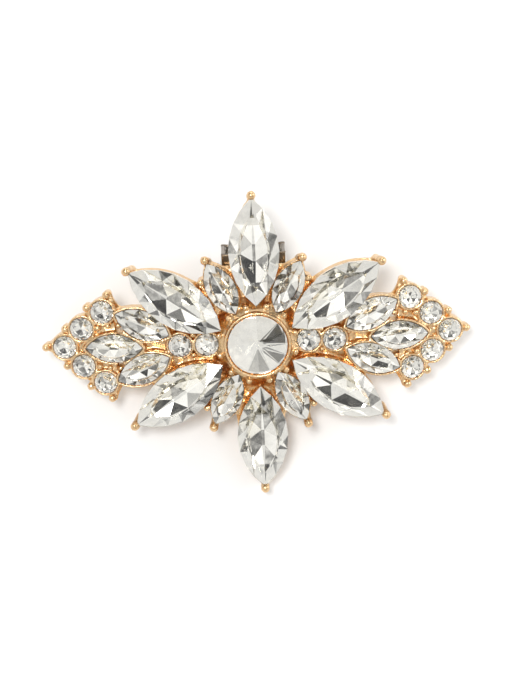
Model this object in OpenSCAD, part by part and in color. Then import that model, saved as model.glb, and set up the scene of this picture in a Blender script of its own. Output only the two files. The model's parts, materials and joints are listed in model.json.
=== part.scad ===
// Crystal shoe clip: a domed, gold-plated casting set with navette and round
// stones, and a sprung steel clip on its back. All sizes are in millimetres.
// Sub-parts are drawn in the clip's own frame: X is its long way, Y its short
// way, Z the way its front faces. lying() then lays the clip down on its lever
// and its lower tip, as it rests on a table.

/* [Casting] */
// Radius of the dome that the settings stand on
dome_r = 150; // [130:5:200]
// Thickness of the cast web between the settings
web_t = 1.09; // [0.9:0.01:1.3]
// Height of the rim above a small stone's girdle
rim_rise = 0.25; // [0.15:0.05:0.35]
// Width of the rim round a small stone
rim_w = 0.35; // [0.25:0.01:0.4]
// Radius of the bead on a long prong
prong_r = 0.67; // [0.5:0.01:0.7]

/* [Stones] */
// Length of a large navette
big_l = 15; // [14.6:0.1:15.2]
// Width of a large navette
big_w = 7; // [6.4:0.1:7.1]
// Length of a small navette
small_l = 8; // [7.4:0.1:8]
// Width of a small navette
small_w = 4; // [3.6:0.1:4]
// Diameter of a round stone
round_d = 3.15; // [2.8:0.05:3.2]
// Diameter of the centre stone
centre_d = 8.2; // [7.8:0.1:8.3]
// Gap between a stone and its seat
stone_gap = 0.08; // [0.05:0.01:0.12]

/* [Clip] */
// Thickness of the clip's sheet steel
sheet_t = 0.6; // [0.5:0.05:0.7]
// Height of the clip behind the casting's seat
clip_h = 6.6; // [6.5:0.1:7]
// Half the lever's width at its shoulders
lever_half_w = 3.6; // [3.4:0.1:3.6]
// Angle that the lever turns through down to its tip
lever_bend = 41; // [36:1:43]
// Radius of the hinge pin
pin_r = 0.6; // [0.5:0.05:0.6]

/* [Hidden] */
$fn = 48;
QUADRANTS = [[1, 1], [-1, 1], [-1, -1], [1, -1]];
SIDES = [1, -1];
eps = 0.01;

// Where the stones stand: x, y and the way the outer tip points
diagonal_place = [10.76, 6.41, 34.3];
petal_place = [4.48, 7.66, 63];
wing_place = [15.54, 3.08, 24];
upright_y = 12.72;
end_navette_x = 19.34;
round_line_x = [6.89, 10.53];
round_apex_x = 26.3;
round_corner_places = [[23.8, 2.63], [20.86, 4.93]];

// Small beads on the rim of each end: x and y in the first quadrant
end_bead_places = [[20.18, 7.25], [22.98, 5.52], [26.08, 2.6]];
end_tip_x = 28.3;
end_bead_r = 0.6;

// Claws round the centre stone and beside the diagonal stones
claw_ring_r = 5.27;
claw_angles = [15, 45, 75];
claw_r = 0.5;
claw_z = 3;
crotch_bead_place = [7.23, 8.7];

// How the stones are cut: depth below the girdle, height above it, and the
// table's share of the outline
girdle_t = 0.3;
big_cut = [2.9, 1.35, 0.52];
small_cut = [1.75, 0.85, 0.5];
round_cut = [1.35, 0.7, 0.5];
centre_cut = [2.1, 1.75, 0.03];
culet_share = 0.1;
hand_lean = 2.0;

// Straight stretches in half of a navette's outline, and round a round one
big_sides = 7;
small_sides = 5;
round_sides = 10;
centre_sides = 16;

// Girdle heights above the dome
floor_t = 0.55;
big_z = floor_t + big_cut[0] + girdle_t / 2;
small_z = floor_t + small_cut[0] + girdle_t / 2;
round_z = floor_t + round_cut[0] + girdle_t / 2;
centre_z = 3.3;

// The web: how far its leaves lie inside the large stones, how far they stand
// out round the small ones, and the foot that they grow from. The band between
// the diagonal stones is given by its middle, half length and half width, and
// the root of the end by its place and half width.
web_inset = 0.23;
web_margin = [0.7, 0.55];
hub_r = 4.5;
wing_band = [13.1, 5.1, 5.2];
end_root = [17.9, 4.3];
web_corner_r = 0.6;
web_corner_inset = 0.4;
web_foot_z = web_t / 2;

// Cups and rims: shares of the outline at the foot and at the girdle
big_cup_shares = [0.88, 0.95];
big_cup_drop = 0.1;
small_cup_share = 0.95;
rim_tip_w = 1.3 * rim_w;
centre_rim_w = 0.42;
centre_rim_rise = 0.35;

// Prongs: height and radius of the foot, how far the foot stands inside the
// stone's tip and the bead outside it
big_foot_z = 1.3;
small_foot_z = 0.9;
foot_r = 0.63;
foot_in = 0.2;
bead_out = 0.3;
bead_rise = 0.15;
petal_prong_out = 0.25;
claw_foot_z = 0.45;

// The clip's places, in the clip's own frame
seat_z = -0.8;
seat_margin = 0.35;
seat_y = [2.4, 12.3];
glue_t = 0.05;
plate_y = 2.8;
plate_top = seat_z - glue_t;
plate_low = plate_top - sheet_t;
lever_out_z = seat_z - clip_h;

pin_run = 0.05;
pin_hold = 0.02;
pin_end = 0.25;
knuckle_t = 0.65;
knuckle_r = pin_r + pin_run + knuckle_t;
hinge_y = 9.4;
hinge_z = lever_out_z + knuckle_r;

neck_half_w = 1.8;
wall_in_x = lever_half_w + 0.3;
wall_t = 0.5;
wall_x = wall_in_x + wall_t;
wall_y = [7.2, 11.9];
wall_slant = 38;
wall_slant_cut = 4.6;
cap_y = 9.85;
cap_in_x = neck_half_w + 0.25;

pad_place = [3.7, 5.9];
pad_r = 3.1;
dome_place = [5.05, 5.45];
dome_rise = 1.1;
dome_base_r = 1.55;

// The lever's side view as it is walked from the knuckle to the tip
lever_flat_end_y = 3.6;
bend_len = 2.2;
bend_steps = 6;
grip_len = 5.3;
lip_len = 1.1;
lip_steps = 4;
lip_turn = 30;
lip_end = 0.5;
lever_end_r = 2.95;
shoulder = 0.9;
shoulder_drop = [2.1, 2.9];
neck_len = 3.2;

// The teeth punched from the lever
tooth_x = 1.45;
tooth_y = 0.7;
tooth_r = 0.75;
tooth_len = 2.3;
tooth_t = 0.4;
tooth_rise = 1.4;
tooth_lean = 25;
tooth_sink = 0.85;

spring_t = 0.35;
spring_half_w = 1.4;
spring_gap = 0.15;
spring_foot_y = 7.6;
spring_arm_y = 7.9;
spring_bend_y = 10.35;
spring_steps = 10;

// The bed that the spring's foot lies in, pressed into the plate
spring_bed_half_w = 2.2;
spring_bed_y = 7.3;
spring_bed_depth = 0.1;

// A pointed oval of two arcs, counted anticlockwise from its right tip
function navette_outline(l, w, n) =
    let (a = l / 2, b = w / 2, r = (a * a + b * b) / (2 * b), half = asin(a / r))
    concat(
        [for (i = [0:n - 1]) let (t = half - 2 * half * i / n) [r * sin(t), r * cos(t) - r + b]],
        [for (i = [0:n - 1]) let (t = half - 2 * half * i / n) [-r * sin(t), r - b - r * cos(t)]]
    );

function round_outline(d, n) = [for (i = [0:n - 1]) d / 2 * [cos(360 * i / n), sin(360 * i / n)]];

// A place of the first quadrant and its outer tip's way, mirrored into another
function mirrored(q, place) =
    [q[0] * place[0], q[1] * place[1], q[0] * q[1] * place[2] + (q[0] < 0 ? 180 : 0)];

// How far the dome falls away at a distance from its middle
function dome_fall(out) = sqrt(dome_r * dome_r - out * out) - dome_r;

big_places = concat(
    [[0, upright_y, 90], [0, -upright_y, -90]],
    [for (q = QUADRANTS) mirrored(q, diagonal_place)]
);
petal_places = [for (q = QUADRANTS) mirrored(q, petal_place)];
small_places = concat(
    petal_places,
    [for (q = QUADRANTS) mirrored(q, wing_place)],
    [for (s = SIDES) [s * end_navette_x, 0, s > 0 ? 0 : 180]]
);
round_places = concat(
    [for (s = SIDES) for (x = round_line_x) [s * x, 0, 0]],
    [for (s = SIDES) [s * round_apex_x, 0, 0]],
    [for (p = round_corner_places) for (q = QUADRANTS) [q[0] * p[0], q[1] * p[1], 0]]
);

// Puts a setting on the dome, square to it
module on_dome(place) {
    out = norm([place[0], place[1]]);
    translate([place[0], place[1], dome_fall(out)])
        rotate(asin(out / dome_r), [-place[1], place[0], 0])
            rotate([0, 0, place[2]])
                children();
}

// The slight lean that a stone set by hand has, other for each stone
module leaning(seed) {
    rotate([hand_lean * sin(137.5 * seed), hand_lean * sin(222.5 * seed), 0]) children();
}

// Each stone of a kind in its setting; the counts keep the leans apart
module big_setting(i) {
    on_dome(big_places[i]) leaning(i + 1) children();
}

module small_setting(i) {
    on_dome(small_places[i]) leaning(i + 11) children();
}

module round_setting(i) {
    on_dome(round_places[i]) leaning(i + 31) children();
}

// A solid through scaled copies of an outline. Rings are rows of share and z.
// The outline is rounded to hundredths, which keeps all the faces quite flat.
module loft(outline, rings) {
    n = len(outline);
    top = n * (len(rings) - 1);
    flat = [for (p = outline) [round(100 * p[0]) / 100, round(100 * p[1]) / 100]];
    polyhedron(
        points = [for (ring = rings) for (p = flat) [p[0] * ring[0], p[1] * ring[0], ring[1]]],
        faces = concat(
            [[for (i = [0:n - 1]) i], [for (i = [0:n - 1]) top + n - 1 - i]],
            [for (k = [0:len(rings) - 2]) for (i = [0:n - 1]) let (j = (i + 1) % n)
                [k * n + i, (k + 1) * n + i, (k + 1) * n + j, k * n + j]]
        )
    );
}

// A cut stone about its girdle, or with grow over 0 the seat that clears it
module cut_stone(outline, cut, grow = 0) {
    loft(outline, [
        [culet_share, -cut[0] - girdle_t / 2 - grow],
        [1, -girdle_t / 2 - grow],
        [1, girdle_t / 2 + grow],
        [cut[2], cut[1] + girdle_t / 2 + grow]
    ]);
}

module big_stone(grow = 0) {
    translate([0, 0, big_z])
        cut_stone(navette_outline(big_l + 2 * grow, big_w + 2 * grow, big_sides), big_cut, grow);
}

module small_stone(grow = 0) {
    translate([0, 0, small_z])
        cut_stone(navette_outline(small_l + 2 * grow, small_w + 2 * grow, small_sides), small_cut, grow);
}

module round_stone(grow = 0) {
    translate([0, 0, round_z])
        cut_stone(round_outline(round_d + 2 * grow, round_sides), round_cut, grow);
}

module centre_stone(grow = 0) {
    translate([0, 0, centre_z])
        cut_stone(round_outline(centre_d + 2 * grow, centre_sides), centre_cut, grow);
}

// A square slab that follows the dome, from which the web is cut
module dome_slab() {
    step = 9.6;
    n = 7;
    count = n * n;
    function slab_point(i, j) = let (x = (i - (n - 1) / 2) * step, y = (j - (n - 1) / 2) * step)
        [x, y, dome_fall(norm([x, y]))];
    lower = [for (i = [0:n - 1]) for (j = [0:n - 1]) slab_point(i, j)];
    cells = [for (i = [0:n - 2]) for (j = [0:n - 2]) i * n + j];
    rim = concat(
        [for (i = [0:n - 2]) i * n],
        [for (j = [0:n - 2]) (n - 1) * n + j],
        [for (i = [n - 1:-1:1]) i * n + n - 1],
        [for (j = [n - 1:-1:1]) j]
    );
    polyhedron(
        points = concat(lower, [for (p = lower) p + [0, 0, web_t]]),
        faces = concat(
            [for (c = cells) [c, c + n, c + n + 1]],
            [for (c = cells) [c, c + n + 1, c + 1]],
            [for (c = cells) [c + count, c + count + n + 1, c + count + n]],
            [for (c = cells) [c + count, c + count + 1, c + count + n + 1]],
            [for (k = [0:len(rim) - 1]) let (a = rim[k], b = rim[(k + 1) % len(rim)])
                [a, a + count, b + count, b]]
        )
    );
}

// The web's outline: a leaf from the hub to each setting, and a pointed end
module web_outline() {
    for (place = big_places) web_leaf(place, big_l - 2 * web_inset, big_w - 3 * web_inset);
    for (place = small_places) web_leaf(place, small_l + web_margin[0], small_w + web_margin[1]);
    for (s = SIDES) {
        translate([s * wing_band[0], 0]) square([2 * wing_band[1], 2 * wing_band[2]], center = true);
        hull() {
            translate([s * end_root[0], 0]) square([eps, 2 * end_root[1]], center = true);
            for (t = SIDES)
                translate([
                    s * (end_bead_places[0][0] - web_corner_inset / 2),
                    t * (end_bead_places[0][1] - web_corner_inset)
                ])
                    circle(r = web_corner_r, $fn = 8);
            translate([s * (end_tip_x - web_corner_inset), 0]) circle(r = web_corner_r, $fn = 8);
        }
    }
}

module web_leaf(place, l, w) {
    hull() {
        circle(r = hub_r, $fn = 8);
        translate([place[0], place[1]]) rotate([0, 0, place[2]]) polygon(navette_outline(l, w, 4));
    }
}

module web() {
    intersection() {
        translate([0, 0, dome_fall(end_tip_x) - web_t]) linear_extrude(height = 10) web_outline();
        dome_slab();
    }
}

// A bead on a stalk that rises from the dome
module claw(x, y, r, bead_z) {
    on_dome([x, y, 0]) loft(round_outline(2 * r, 5), [
        [0.7, claw_foot_z],
        [1, bead_z],
        [0.5, bead_z + 0.9 * r]
    ]);
}

module big_cup() {
    loft(navette_outline(big_l, big_w, big_sides), [
        [big_cup_shares[0], web_foot_z],
        [big_cup_shares[1], big_z - big_cup_drop]
    ]);
}

module small_cup() {
    loft(navette_outline(small_l + 2 * rim_tip_w, small_w + 2 * rim_w, small_sides), [
        [small_cup_share, web_foot_z],
        [1, small_z + rim_rise]
    ]);
}

module round_cup() {
    translate([0, 0, web_foot_z])
        cylinder(r = round_d / 2 + rim_w, h = round_z + rim_rise - web_foot_z, $fn = round_sides);
}

module centre_cup() {
    translate([0, 0, web_foot_z])
        cylinder(
            r = centre_d / 2 + centre_rim_w,
            h = centre_z + centre_rim_rise - web_foot_z,
            $fn = centre_sides
        );
}

// The prong at a navette's outer tip, with its foot at the back of the cup
module tip_prong(tip_x, girdle_z, foot_z) {
    hull() {
        translate([tip_x - foot_in, 0, foot_z]) sphere(r = foot_r, $fn = 6);
        translate([tip_x + bead_out, 0, girdle_z + bead_rise]) sphere(r = prong_r, $fn = 8);
    }
}

// Web, cups, prongs and beads, before the stones' seats are cut
module cast_metal() {
    web();
    seat();
    centre_cup();
    for (i = [0:len(big_places) - 1]) big_setting(i) {
        big_cup();
        tip_prong(big_l / 2, big_z, big_foot_z);
    }
    for (i = [0:len(small_places) - 1]) small_setting(i) {
        small_cup();
        if (i < len(petal_places)) tip_prong(small_l / 2 + petal_prong_out, small_z, small_foot_z);
    }
    for (i = [0:len(round_places) - 1]) round_setting(i) round_cup();
    for (q = QUADRANTS) {
        for (p = end_bead_places) claw(q[0] * p[0], q[1] * p[1], end_bead_r, round_z);
        for (a = claw_angles)
            claw(q[0] * claw_ring_r * cos(a), q[1] * claw_ring_r * sin(a), claw_r, claw_z);
        claw(q[0] * crotch_bead_place[0], q[1] * crotch_bead_place[1], claw_r, claw_z);
    }
    for (s = SIDES) claw(s * end_tip_x, 0, end_bead_r, round_z);
}

// The flat place on the casting's back that the clip is fixed to
module seat() {
    translate([0, 0, seat_z]) linear_extrude(height = web_foot_z - seat_z) {
        for (s = SIDES)
            translate([s * pad_place[0], pad_place[1]]) circle(r = pad_r + seat_margin, $fn = 12);
        translate([-wall_x, seat_y[0]]) square([2 * wall_x, seat_y[1] - seat_y[0]]);
    }
}

module casting() {
    color("goldenrod") difference() {
        cast_metal();
        centre_stone(stone_gap);
        for (i = [0:len(big_places) - 1]) big_setting(i) big_stone(stone_gap);
        for (i = [0:len(small_places) - 1]) small_setting(i) small_stone(stone_gap);
        for (i = [0:len(round_places) - 1]) round_setting(i) round_stone(stone_gap);
    }
}

// The clip's pressed bracket: a plate with two domed pads, two walls and the
// caps folded in over them
module clip_bracket() {
    color("silver") difference() {
        union() {
            bracket_plate();
            for (s = SIDES) {
                bracket_wall(s);
                pad_dome(s);
            }
        }
        translate([0, hinge_y, hinge_z]) rotate([0, 90, 0])
            cylinder(r = pin_r + pin_hold, h = 4 * wall_x, center = true);
        slanted_edges();
        spring_bed();
    }
}

module bracket_plate() {
    translate([0, 0, plate_low]) linear_extrude(height = sheet_t) {
        translate([-wall_x, plate_y]) square([2 * wall_x, wall_y[1] - plate_y]);
        for (s = SIDES) translate([s * pad_place[0], pad_place[1]]) circle(r = pad_r);
    }
}

module bracket_wall(s) {
    translate([s * (wall_in_x + wall_t / 2) - wall_t / 2, wall_y[0], lever_out_z])
        cube([wall_t, wall_y[1] - wall_y[0], plate_low - lever_out_z + eps]);
    translate([s > 0 ? cap_in_x : -wall_x, cap_y, lever_out_z])
        cube([wall_x - cap_in_x, wall_y[1] - cap_y, sheet_t]);
}

// Cuts the walls' edges on the jaw's side to a slant
module slanted_edges() {
    translate([-2 * wall_x, wall_y[0], lever_out_z]) rotate([wall_slant, 0, 0])
        translate([0, -4, -4]) cube([4 * wall_x, wall_slant_cut, 8]);
}

module spring_bed() {
    translate([-spring_bed_half_w, spring_bed_y, plate_low - sheet_t])
        cube([2 * spring_bed_half_w, wall_y[1], sheet_t + spring_bed_depth]);
}

// A shallow dome pressed out of a pad: the cap of a sphere
module pad_dome(s) {
    dome_sphere_r = (dome_base_r * dome_base_r + dome_rise * dome_rise) / (2 * dome_rise);
    intersection() {
        translate([s * dome_place[0], dome_place[1], plate_low + dome_sphere_r - dome_rise])
            sphere(r = dome_sphere_r);
        translate([s * dome_place[0], dome_place[1], plate_low - dome_rise])
            translate([-pad_r, -pad_r, -eps]) cube([2 * pad_r, 2 * pad_r, dome_rise + 2 * eps]);
    }
}

module hinge_pin() {
    color("gray") translate([0, hinge_y, hinge_z]) rotate([0, 90, 0])
        cylinder(r = pin_r, h = 2 * (wall_x + pin_end), center = true);
}

// The lever's middle line from the knuckle to the tip. Rows are the length of
// a step and how far it turns.
lever_steps = concat(
    [[hinge_y - lever_flat_end_y, 0]],
    [for (i = [1:bend_steps]) [bend_len / bend_steps, lever_bend / bend_steps]],
    [[grip_len, 0]],
    [for (i = [1:lip_steps]) [lip_len / lip_steps, -lip_turn / lip_steps]],
    [[lip_end, 0]]
);

// Points along the walk, as rows of y, z and heading
function walk(steps, i = 0, at = [0, 0, 0]) =
    i == len(steps) ? [at] :
    let (h = at[2] + steps[i][1])
    concat([at], walk(steps, i + 1, [at[0] - steps[i][0] * cos(h), at[1] + steps[i][0] * sin(h), h]));

// The point at a distance beside a row of a walk
function beside(row, d) = [row[0] + d * sin(row[2]), row[1] + d * cos(row[2])];

// A strip of an even thickness along a walk
function strip(rows, t) = concat(
    [for (row = rows) beside(row, -t / 2)],
    [for (i = [len(rows) - 1:-1:0]) beside(rows[i], t / 2)]
);

lever_walk = walk(lever_steps, 0, [hinge_y, lever_out_z + sheet_t / 2, 0]);
lever_tip_y = lever_walk[len(lever_walk) - 1][0];

// The lever seen from behind: neck, shoulders, taper and round end
module lever_plan() {
    end_y = lever_tip_y + lever_end_r;
    translate([-neck_half_w, hinge_y - neck_len]) square([2 * neck_half_w, neck_len]);
    polygon([
        [-lever_end_r, end_y],
        [lever_end_r, end_y],
        [lever_half_w, hinge_y - shoulder_drop[1]],
        [lever_half_w - shoulder, hinge_y - shoulder_drop[0]],
        [shoulder - lever_half_w, hinge_y - shoulder_drop[0]],
        [-lever_half_w, hinge_y - shoulder_drop[1]]
    ]);
    translate([0, end_y]) circle(r = lever_end_r);
}

// The hole that a tooth leaves: a round foot and a point
module teardrop() {
    polygon(concat(
        [[0, tooth_len - tooth_r]],
        [for (i = [0:10]) tooth_r * [cos(160 + 22 * i), sin(160 + 22 * i)]]
    ));
}

module clip_lever() {
    color("silver") difference() {
        union() {
            intersection() {
                translate([-lever_half_w - 1, 0, 0]) rotate([90, 0, 90])
                    linear_extrude(height = 2 * lever_half_w + 2) polygon(strip(lever_walk, sheet_t));
                translate([0, 0, lever_out_z - sheet_t]) linear_extrude(height = clip_h) difference() {
                    lever_plan();
                    for (s = SIDES) translate([s * tooth_x, tooth_y]) teardrop();
                }
            }
            translate([0, hinge_y, hinge_z]) rotate([0, 90, 0])
                cylinder(r = knuckle_r, h = 2 * neck_half_w, center = true);
            for (s = SIDES) tooth(s);
        }
        translate([0, hinge_y, hinge_z]) rotate([0, 90, 0])
            cylinder(r = pin_r + pin_run, h = 4 * neck_half_w, center = true);
    }
}

// A tongue cut from the lever and turned in towards the casting
module tooth(s) {
    base_y = tooth_y - tooth_r - 0.1;
    base_z = lever_out_z + sheet_t + (lever_flat_end_y - base_y) * tan(lever_bend) - tooth_sink;
    translate([s * tooth_x, base_y, base_z]) rotate([90 - lever_bend + tooth_lean, 0, 0])
        linear_extrude(height = tooth_t, center = true)
            polygon([[-tooth_r, -0.1], [tooth_r, -0.1], [0, tooth_rise]]);
}

// A bent leaf between the plate and the knuckle, which snaps the lever shut
module leaf_spring() {
    foot_z = plate_low + spring_bed_depth - glue_t - spring_t / 2;
    arm_z = hinge_z + knuckle_r + spring_gap + spring_t / 2;
    bend_r = (foot_z - arm_z) / 2;
    rows = concat(
        [[spring_foot_y, foot_z, 180]],
        [for (i = [0:spring_steps]) let (a = 90 - 180 * i / spring_steps)
            [spring_bend_y + bend_r * cos(a), arm_z + bend_r + bend_r * sin(a), 270 - a]],
        [[spring_arm_y, arm_z, 0]]
    );
    color("dimgray") translate([-spring_half_w, 0, 0]) rotate([90, 0, 90])
        linear_extrude(height = 2 * spring_half_w) polygon(strip(rows, spring_t));
}

// How the clip lies: on the lever's bend and on the lower leaf's tip, with
// the middle of its box over the origin
web_tip_y = upright_y + big_l / 2 - web_inset;
low_tip = [-web_tip_y, dome_fall(web_tip_y)];
lever_heel = beside(lever_walk[3], -sheet_t / 2);
rest_tilt = atan((low_tip[1] - lever_heel[1]) / (lever_heel[0] - low_tip[0]));
rest_lift = -(lever_heel[0] * sin(rest_tilt) + lever_heel[1] * cos(rest_tilt));
rest_shift = (big_z + low_tip[1]) * sin(rest_tilt);

module lying() {
    translate([0, rest_shift, rest_lift]) rotate([rest_tilt, 0, 0]) children();
}

lying() casting();
lying() color("white") centre_stone();
for (i = [0:len(big_places) - 1])
    lying() big_setting(i) color("white") big_stone();
for (i = [0:len(small_places) - 1])
    lying() small_setting(i) color("white") small_stone();
for (i = [0:len(round_places) - 1])
    lying() round_setting(i) color("white") round_stone();
lying() clip_bracket();
lying() clip_lever();
lying() hinge_pin();
lying() leaf_spring();
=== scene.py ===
"""Looks of a crystal shoe clip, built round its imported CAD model.

The pieces are shaped in the clip's own frame, in millimetres: X is its long
way, Y its short way and Z the way its front faces. Each finished mesh is then
laid down as the CAD model lies, in metres.
"""

from __future__ import annotations

import json
import logging
import math
from collections.abc import Callable, Iterator, Sequence
from dataclasses import dataclass, field
from enum import Enum
from functools import partial

import bmesh
import bpy
import numpy as np
import openvdb
from mathutils import Matrix, Vector

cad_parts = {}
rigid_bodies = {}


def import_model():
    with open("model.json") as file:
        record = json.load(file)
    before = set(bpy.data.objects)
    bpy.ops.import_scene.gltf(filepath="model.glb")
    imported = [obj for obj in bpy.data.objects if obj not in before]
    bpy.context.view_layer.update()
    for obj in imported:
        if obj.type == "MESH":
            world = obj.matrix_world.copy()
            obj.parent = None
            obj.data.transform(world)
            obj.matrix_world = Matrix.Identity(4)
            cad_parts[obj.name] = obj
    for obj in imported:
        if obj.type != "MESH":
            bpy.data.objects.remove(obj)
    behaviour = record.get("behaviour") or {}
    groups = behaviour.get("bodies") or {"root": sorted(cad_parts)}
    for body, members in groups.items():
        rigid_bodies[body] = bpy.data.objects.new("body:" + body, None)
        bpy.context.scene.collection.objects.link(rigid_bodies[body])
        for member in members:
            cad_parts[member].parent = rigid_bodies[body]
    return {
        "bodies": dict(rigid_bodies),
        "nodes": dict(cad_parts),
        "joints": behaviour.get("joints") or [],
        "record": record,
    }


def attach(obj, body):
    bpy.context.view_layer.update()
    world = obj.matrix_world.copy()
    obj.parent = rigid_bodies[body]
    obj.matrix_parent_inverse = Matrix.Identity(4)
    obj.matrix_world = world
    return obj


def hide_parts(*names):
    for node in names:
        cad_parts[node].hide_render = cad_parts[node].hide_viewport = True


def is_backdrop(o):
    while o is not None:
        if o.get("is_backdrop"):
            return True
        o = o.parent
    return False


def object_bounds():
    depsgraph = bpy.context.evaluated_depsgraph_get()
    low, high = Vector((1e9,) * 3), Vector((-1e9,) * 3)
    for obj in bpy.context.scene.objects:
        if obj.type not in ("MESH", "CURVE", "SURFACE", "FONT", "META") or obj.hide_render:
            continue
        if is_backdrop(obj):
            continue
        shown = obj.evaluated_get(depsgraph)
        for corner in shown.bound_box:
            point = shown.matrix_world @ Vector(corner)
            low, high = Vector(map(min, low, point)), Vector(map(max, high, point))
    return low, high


Field = np.ndarray
Shape = Callable[[Field, Field, Field], Field]
Socket = bpy.types.NodeSocket
Material = bpy.types.Material
Mesh = bpy.types.Mesh
Object = bpy.types.Object
Span = tuple[float, float]
Triple = tuple[float, float, float]

LOG = logging.getLogger("shoe_clip")
MM = 0.001
QUADRANTS = ((1, 1), (-1, 1), (-1, -1), (1, -1))
SIDES = (1, -1)
UP = Vector((0, 0, 1))
DOME_R = 150.0
RIM_W = 0.35
CLIP_BODY = "clip_body"
LEVER_BODY = "lever"


class Slot(Enum):
    """The record's material slots."""

    GOLD = "gold_plating"
    CRYSTAL = "crystal"
    NICKEL = "nickel_plating"
    SPRING = "spring_steel"


# Node trees


class NodeTree:
    """Adds nodes to a shader or geometry tree and joins them up."""

    def __init__(self, tree: bpy.types.NodeTree) -> None:
        """Starts on a tree."""
        self.tree = tree

    def add(self, kind: str, inputs: dict | None = None, **settings: object) -> bpy.types.Node:
        """Adds one node.

        Args:
            kind: The node's type.
            inputs: Values or sockets by the input's name or number.
            **settings: Properties of the node.

        Returns:
            The new node.
        """
        node = self.tree.nodes.new(kind)
        for name, value in settings.items():
            setattr(node, name, value)
        for name, value in (inputs or {}).items():
            if isinstance(value, Socket):
                self.tree.links.new(value, node.inputs[name])
            else:
                node.inputs[name].default_value = value
        return node

    def out(self, kind: str, inputs: dict | None = None, output: str | int = 0, **settings: object) -> Socket:
        """Adds one node and gives one of its outputs."""
        return self.add(kind, inputs, **settings).outputs[output]

    def attribute(self, name: str) -> Socket:
        """A number that is written on the mesh."""
        return self.out("ShaderNodeAttribute", output="Fac", attribute_name=name)

    def noise(self, place: Socket, scale: float, detail: float = 3.0) -> Socket:
        """Smooth noise from 0 to 1, with so many grains to a length and so many octaves."""
        return self.out("ShaderNodeTexNoise", {"Vector": place, "Scale": scale, "Detail": detail}, "Fac")

    def times(self, first: Socket, second: Socket | float) -> Socket:
        """Multiplies two numbers."""
        return self.out("ShaderNodeMath", {0: first, 1: second}, operation="MULTIPLY")

    def mapped(self, value: Socket, low: float, high: float, to: Span = (0.0, 1.0)) -> Socket:
        """Stretches the range from low to high to another, and holds what lies outside."""
        ends = {"From Min": low, "From Max": high, "To Min": to[0], "To Max": to[1]}
        return self.out("ShaderNodeMapRange", {"Value": value, **ends})

    def mix(self, share: Socket, first: Socket, second: Socket) -> Socket:
        """Mixes two colours."""
        return self.out("ShaderNodeMix", {0: share, 6: first, 7: second}, 2, data_type="RGBA")

    def mix_values(self, share: Socket, first: Socket | float, second: Socket | float) -> Socket:
        """Mixes two numbers."""
        return self.out("ShaderNodeMix", {0: share, 2: first, 3: second}, data_type="FLOAT")

    def ramp(self, value: Socket, *stops: tuple) -> Socket:
        """A colour ramp.

        Args:
            value: What it reads.
            *stops: Rows of position and a colour or a grey.

        Returns:
            A colour socket.
        """
        node = self.add("ShaderNodeValToRGB", {"Fac": value})
        elements = node.color_ramp.elements
        while len(elements) < len(stops):
            elements.new(0.5)
        for element, (position, tone) in zip(elements, stops):
            element.position = position
            element.color = (*(tone if isinstance(tone, tuple) else (tone, tone, tone)), 1)
        return node.outputs["Color"]


class Shader(NodeTree):
    """A material's tree, with the clip's own frame at hand."""

    def __init__(self, name: str, lie: Lie) -> None:
        """Makes an empty material.

        Args:
            name: The material's name.
            lie: How the clip lies, to read places in its own frame.
        """
        self.material = bpy.data.materials.new(name)
        self.material.use_nodes = True
        super().__init__(self.material.node_tree)
        self.tree.nodes.clear()
        self.lie = lie

    def own_place(self, stretch: Triple = (1, 1, 1)) -> Socket:
        """The shaded point in the clip's own frame, in millimetres.

        Args:
            stretch: How much each way is stretched for the pattern.

        Returns:
            A vector socket.
        """
        coords = self.out("ShaderNodeTexCoord", output="Object")
        lie = {"Location": self.lie.place, "Rotation": (self.lie.tilt, 0, 0), "Scale": (MM, MM, MM)}
        own = self.out("ShaderNodeMapping", {"Vector": coords, **lie}, vector_type="TEXTURE")
        return self.out("ShaderNodeMapping", {"Vector": own, "Scale": stretch})

    def bump(self, height: Socket, depth: float) -> Socket:
        """A bumped normal, where a height of 1 stands for a depth in millimetres."""
        return self.out("ShaderNodeBump", {"Height": height, "Distance": depth * MM, "Strength": 1.0})

    def surface(self, **inputs: object) -> Material:
        """Ends the tree in a Principled shader.

        Args:
            **inputs: Its inputs, with underscores for spaces.

        Returns:
            The material.
        """
        named = {name.replace("_", " "): value for name, value in inputs.items()}
        shader = self.out("ShaderNodeBsdfPrincipled", named)
        self.add("ShaderNodeOutputMaterial", {"Surface": shader})
        return self.material


# Finishes


@dataclass(frozen=True)
class GoldPlating:
    """Bright gold-tone plating: painted shade (orange) in the recesses and a painted highlight tone on the
    crests, pale on the worn back.
    """

    face: Triple = (0.75, 0.52, 0.29)
    # The crest and hollow colours are painted light and painted shade, picked by how hollow the metal is.
    painted_crest_light: Triple = (0.84, 0.60, 0.35)
    painted_recess_shade: Triple = (0.82, 0.56, 0.31)
    back: Triple = (0.78, 0.58, 0.32)
    cloud_scale: float = 0.9
    grain_scale: float = 5.0
    grain: float = 0.03
    roughness: Span = (0.16, 0.34)

    def material(self, lie: Lie) -> Material:
        """Makes the plating.

        Args:
            lie: How the clip lies.

        Returns:
            The material.
        """
        s = Shader("gold_plating", lie)
        place = s.own_place()
        painted_recess_shade = s.attribute("painted_recess_shade")
        # Painted light and shade: a painted highlight tone on exposed crests, painted recess shade in the
        # hollows.
        front = s.ramp(painted_recess_shade, (0.25, self.painted_crest_light), (0.5, self.face), (0.8, self.painted_recess_shade))
        worn = s.ramp(painted_recess_shade, (0.3, self.painted_crest_light), (0.55, self.back), (0.85, self.face))
        return s.surface(
            Base_Color=s.mix(s.attribute("back"), front, worn),
            Metallic=1.0,
            Roughness=s.mapped(s.noise(place, self.cloud_scale), 0.3, 0.7, self.roughness),
            Normal=s.bump(s.noise(place, self.grain_scale, 4), self.grain),
        )


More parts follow.
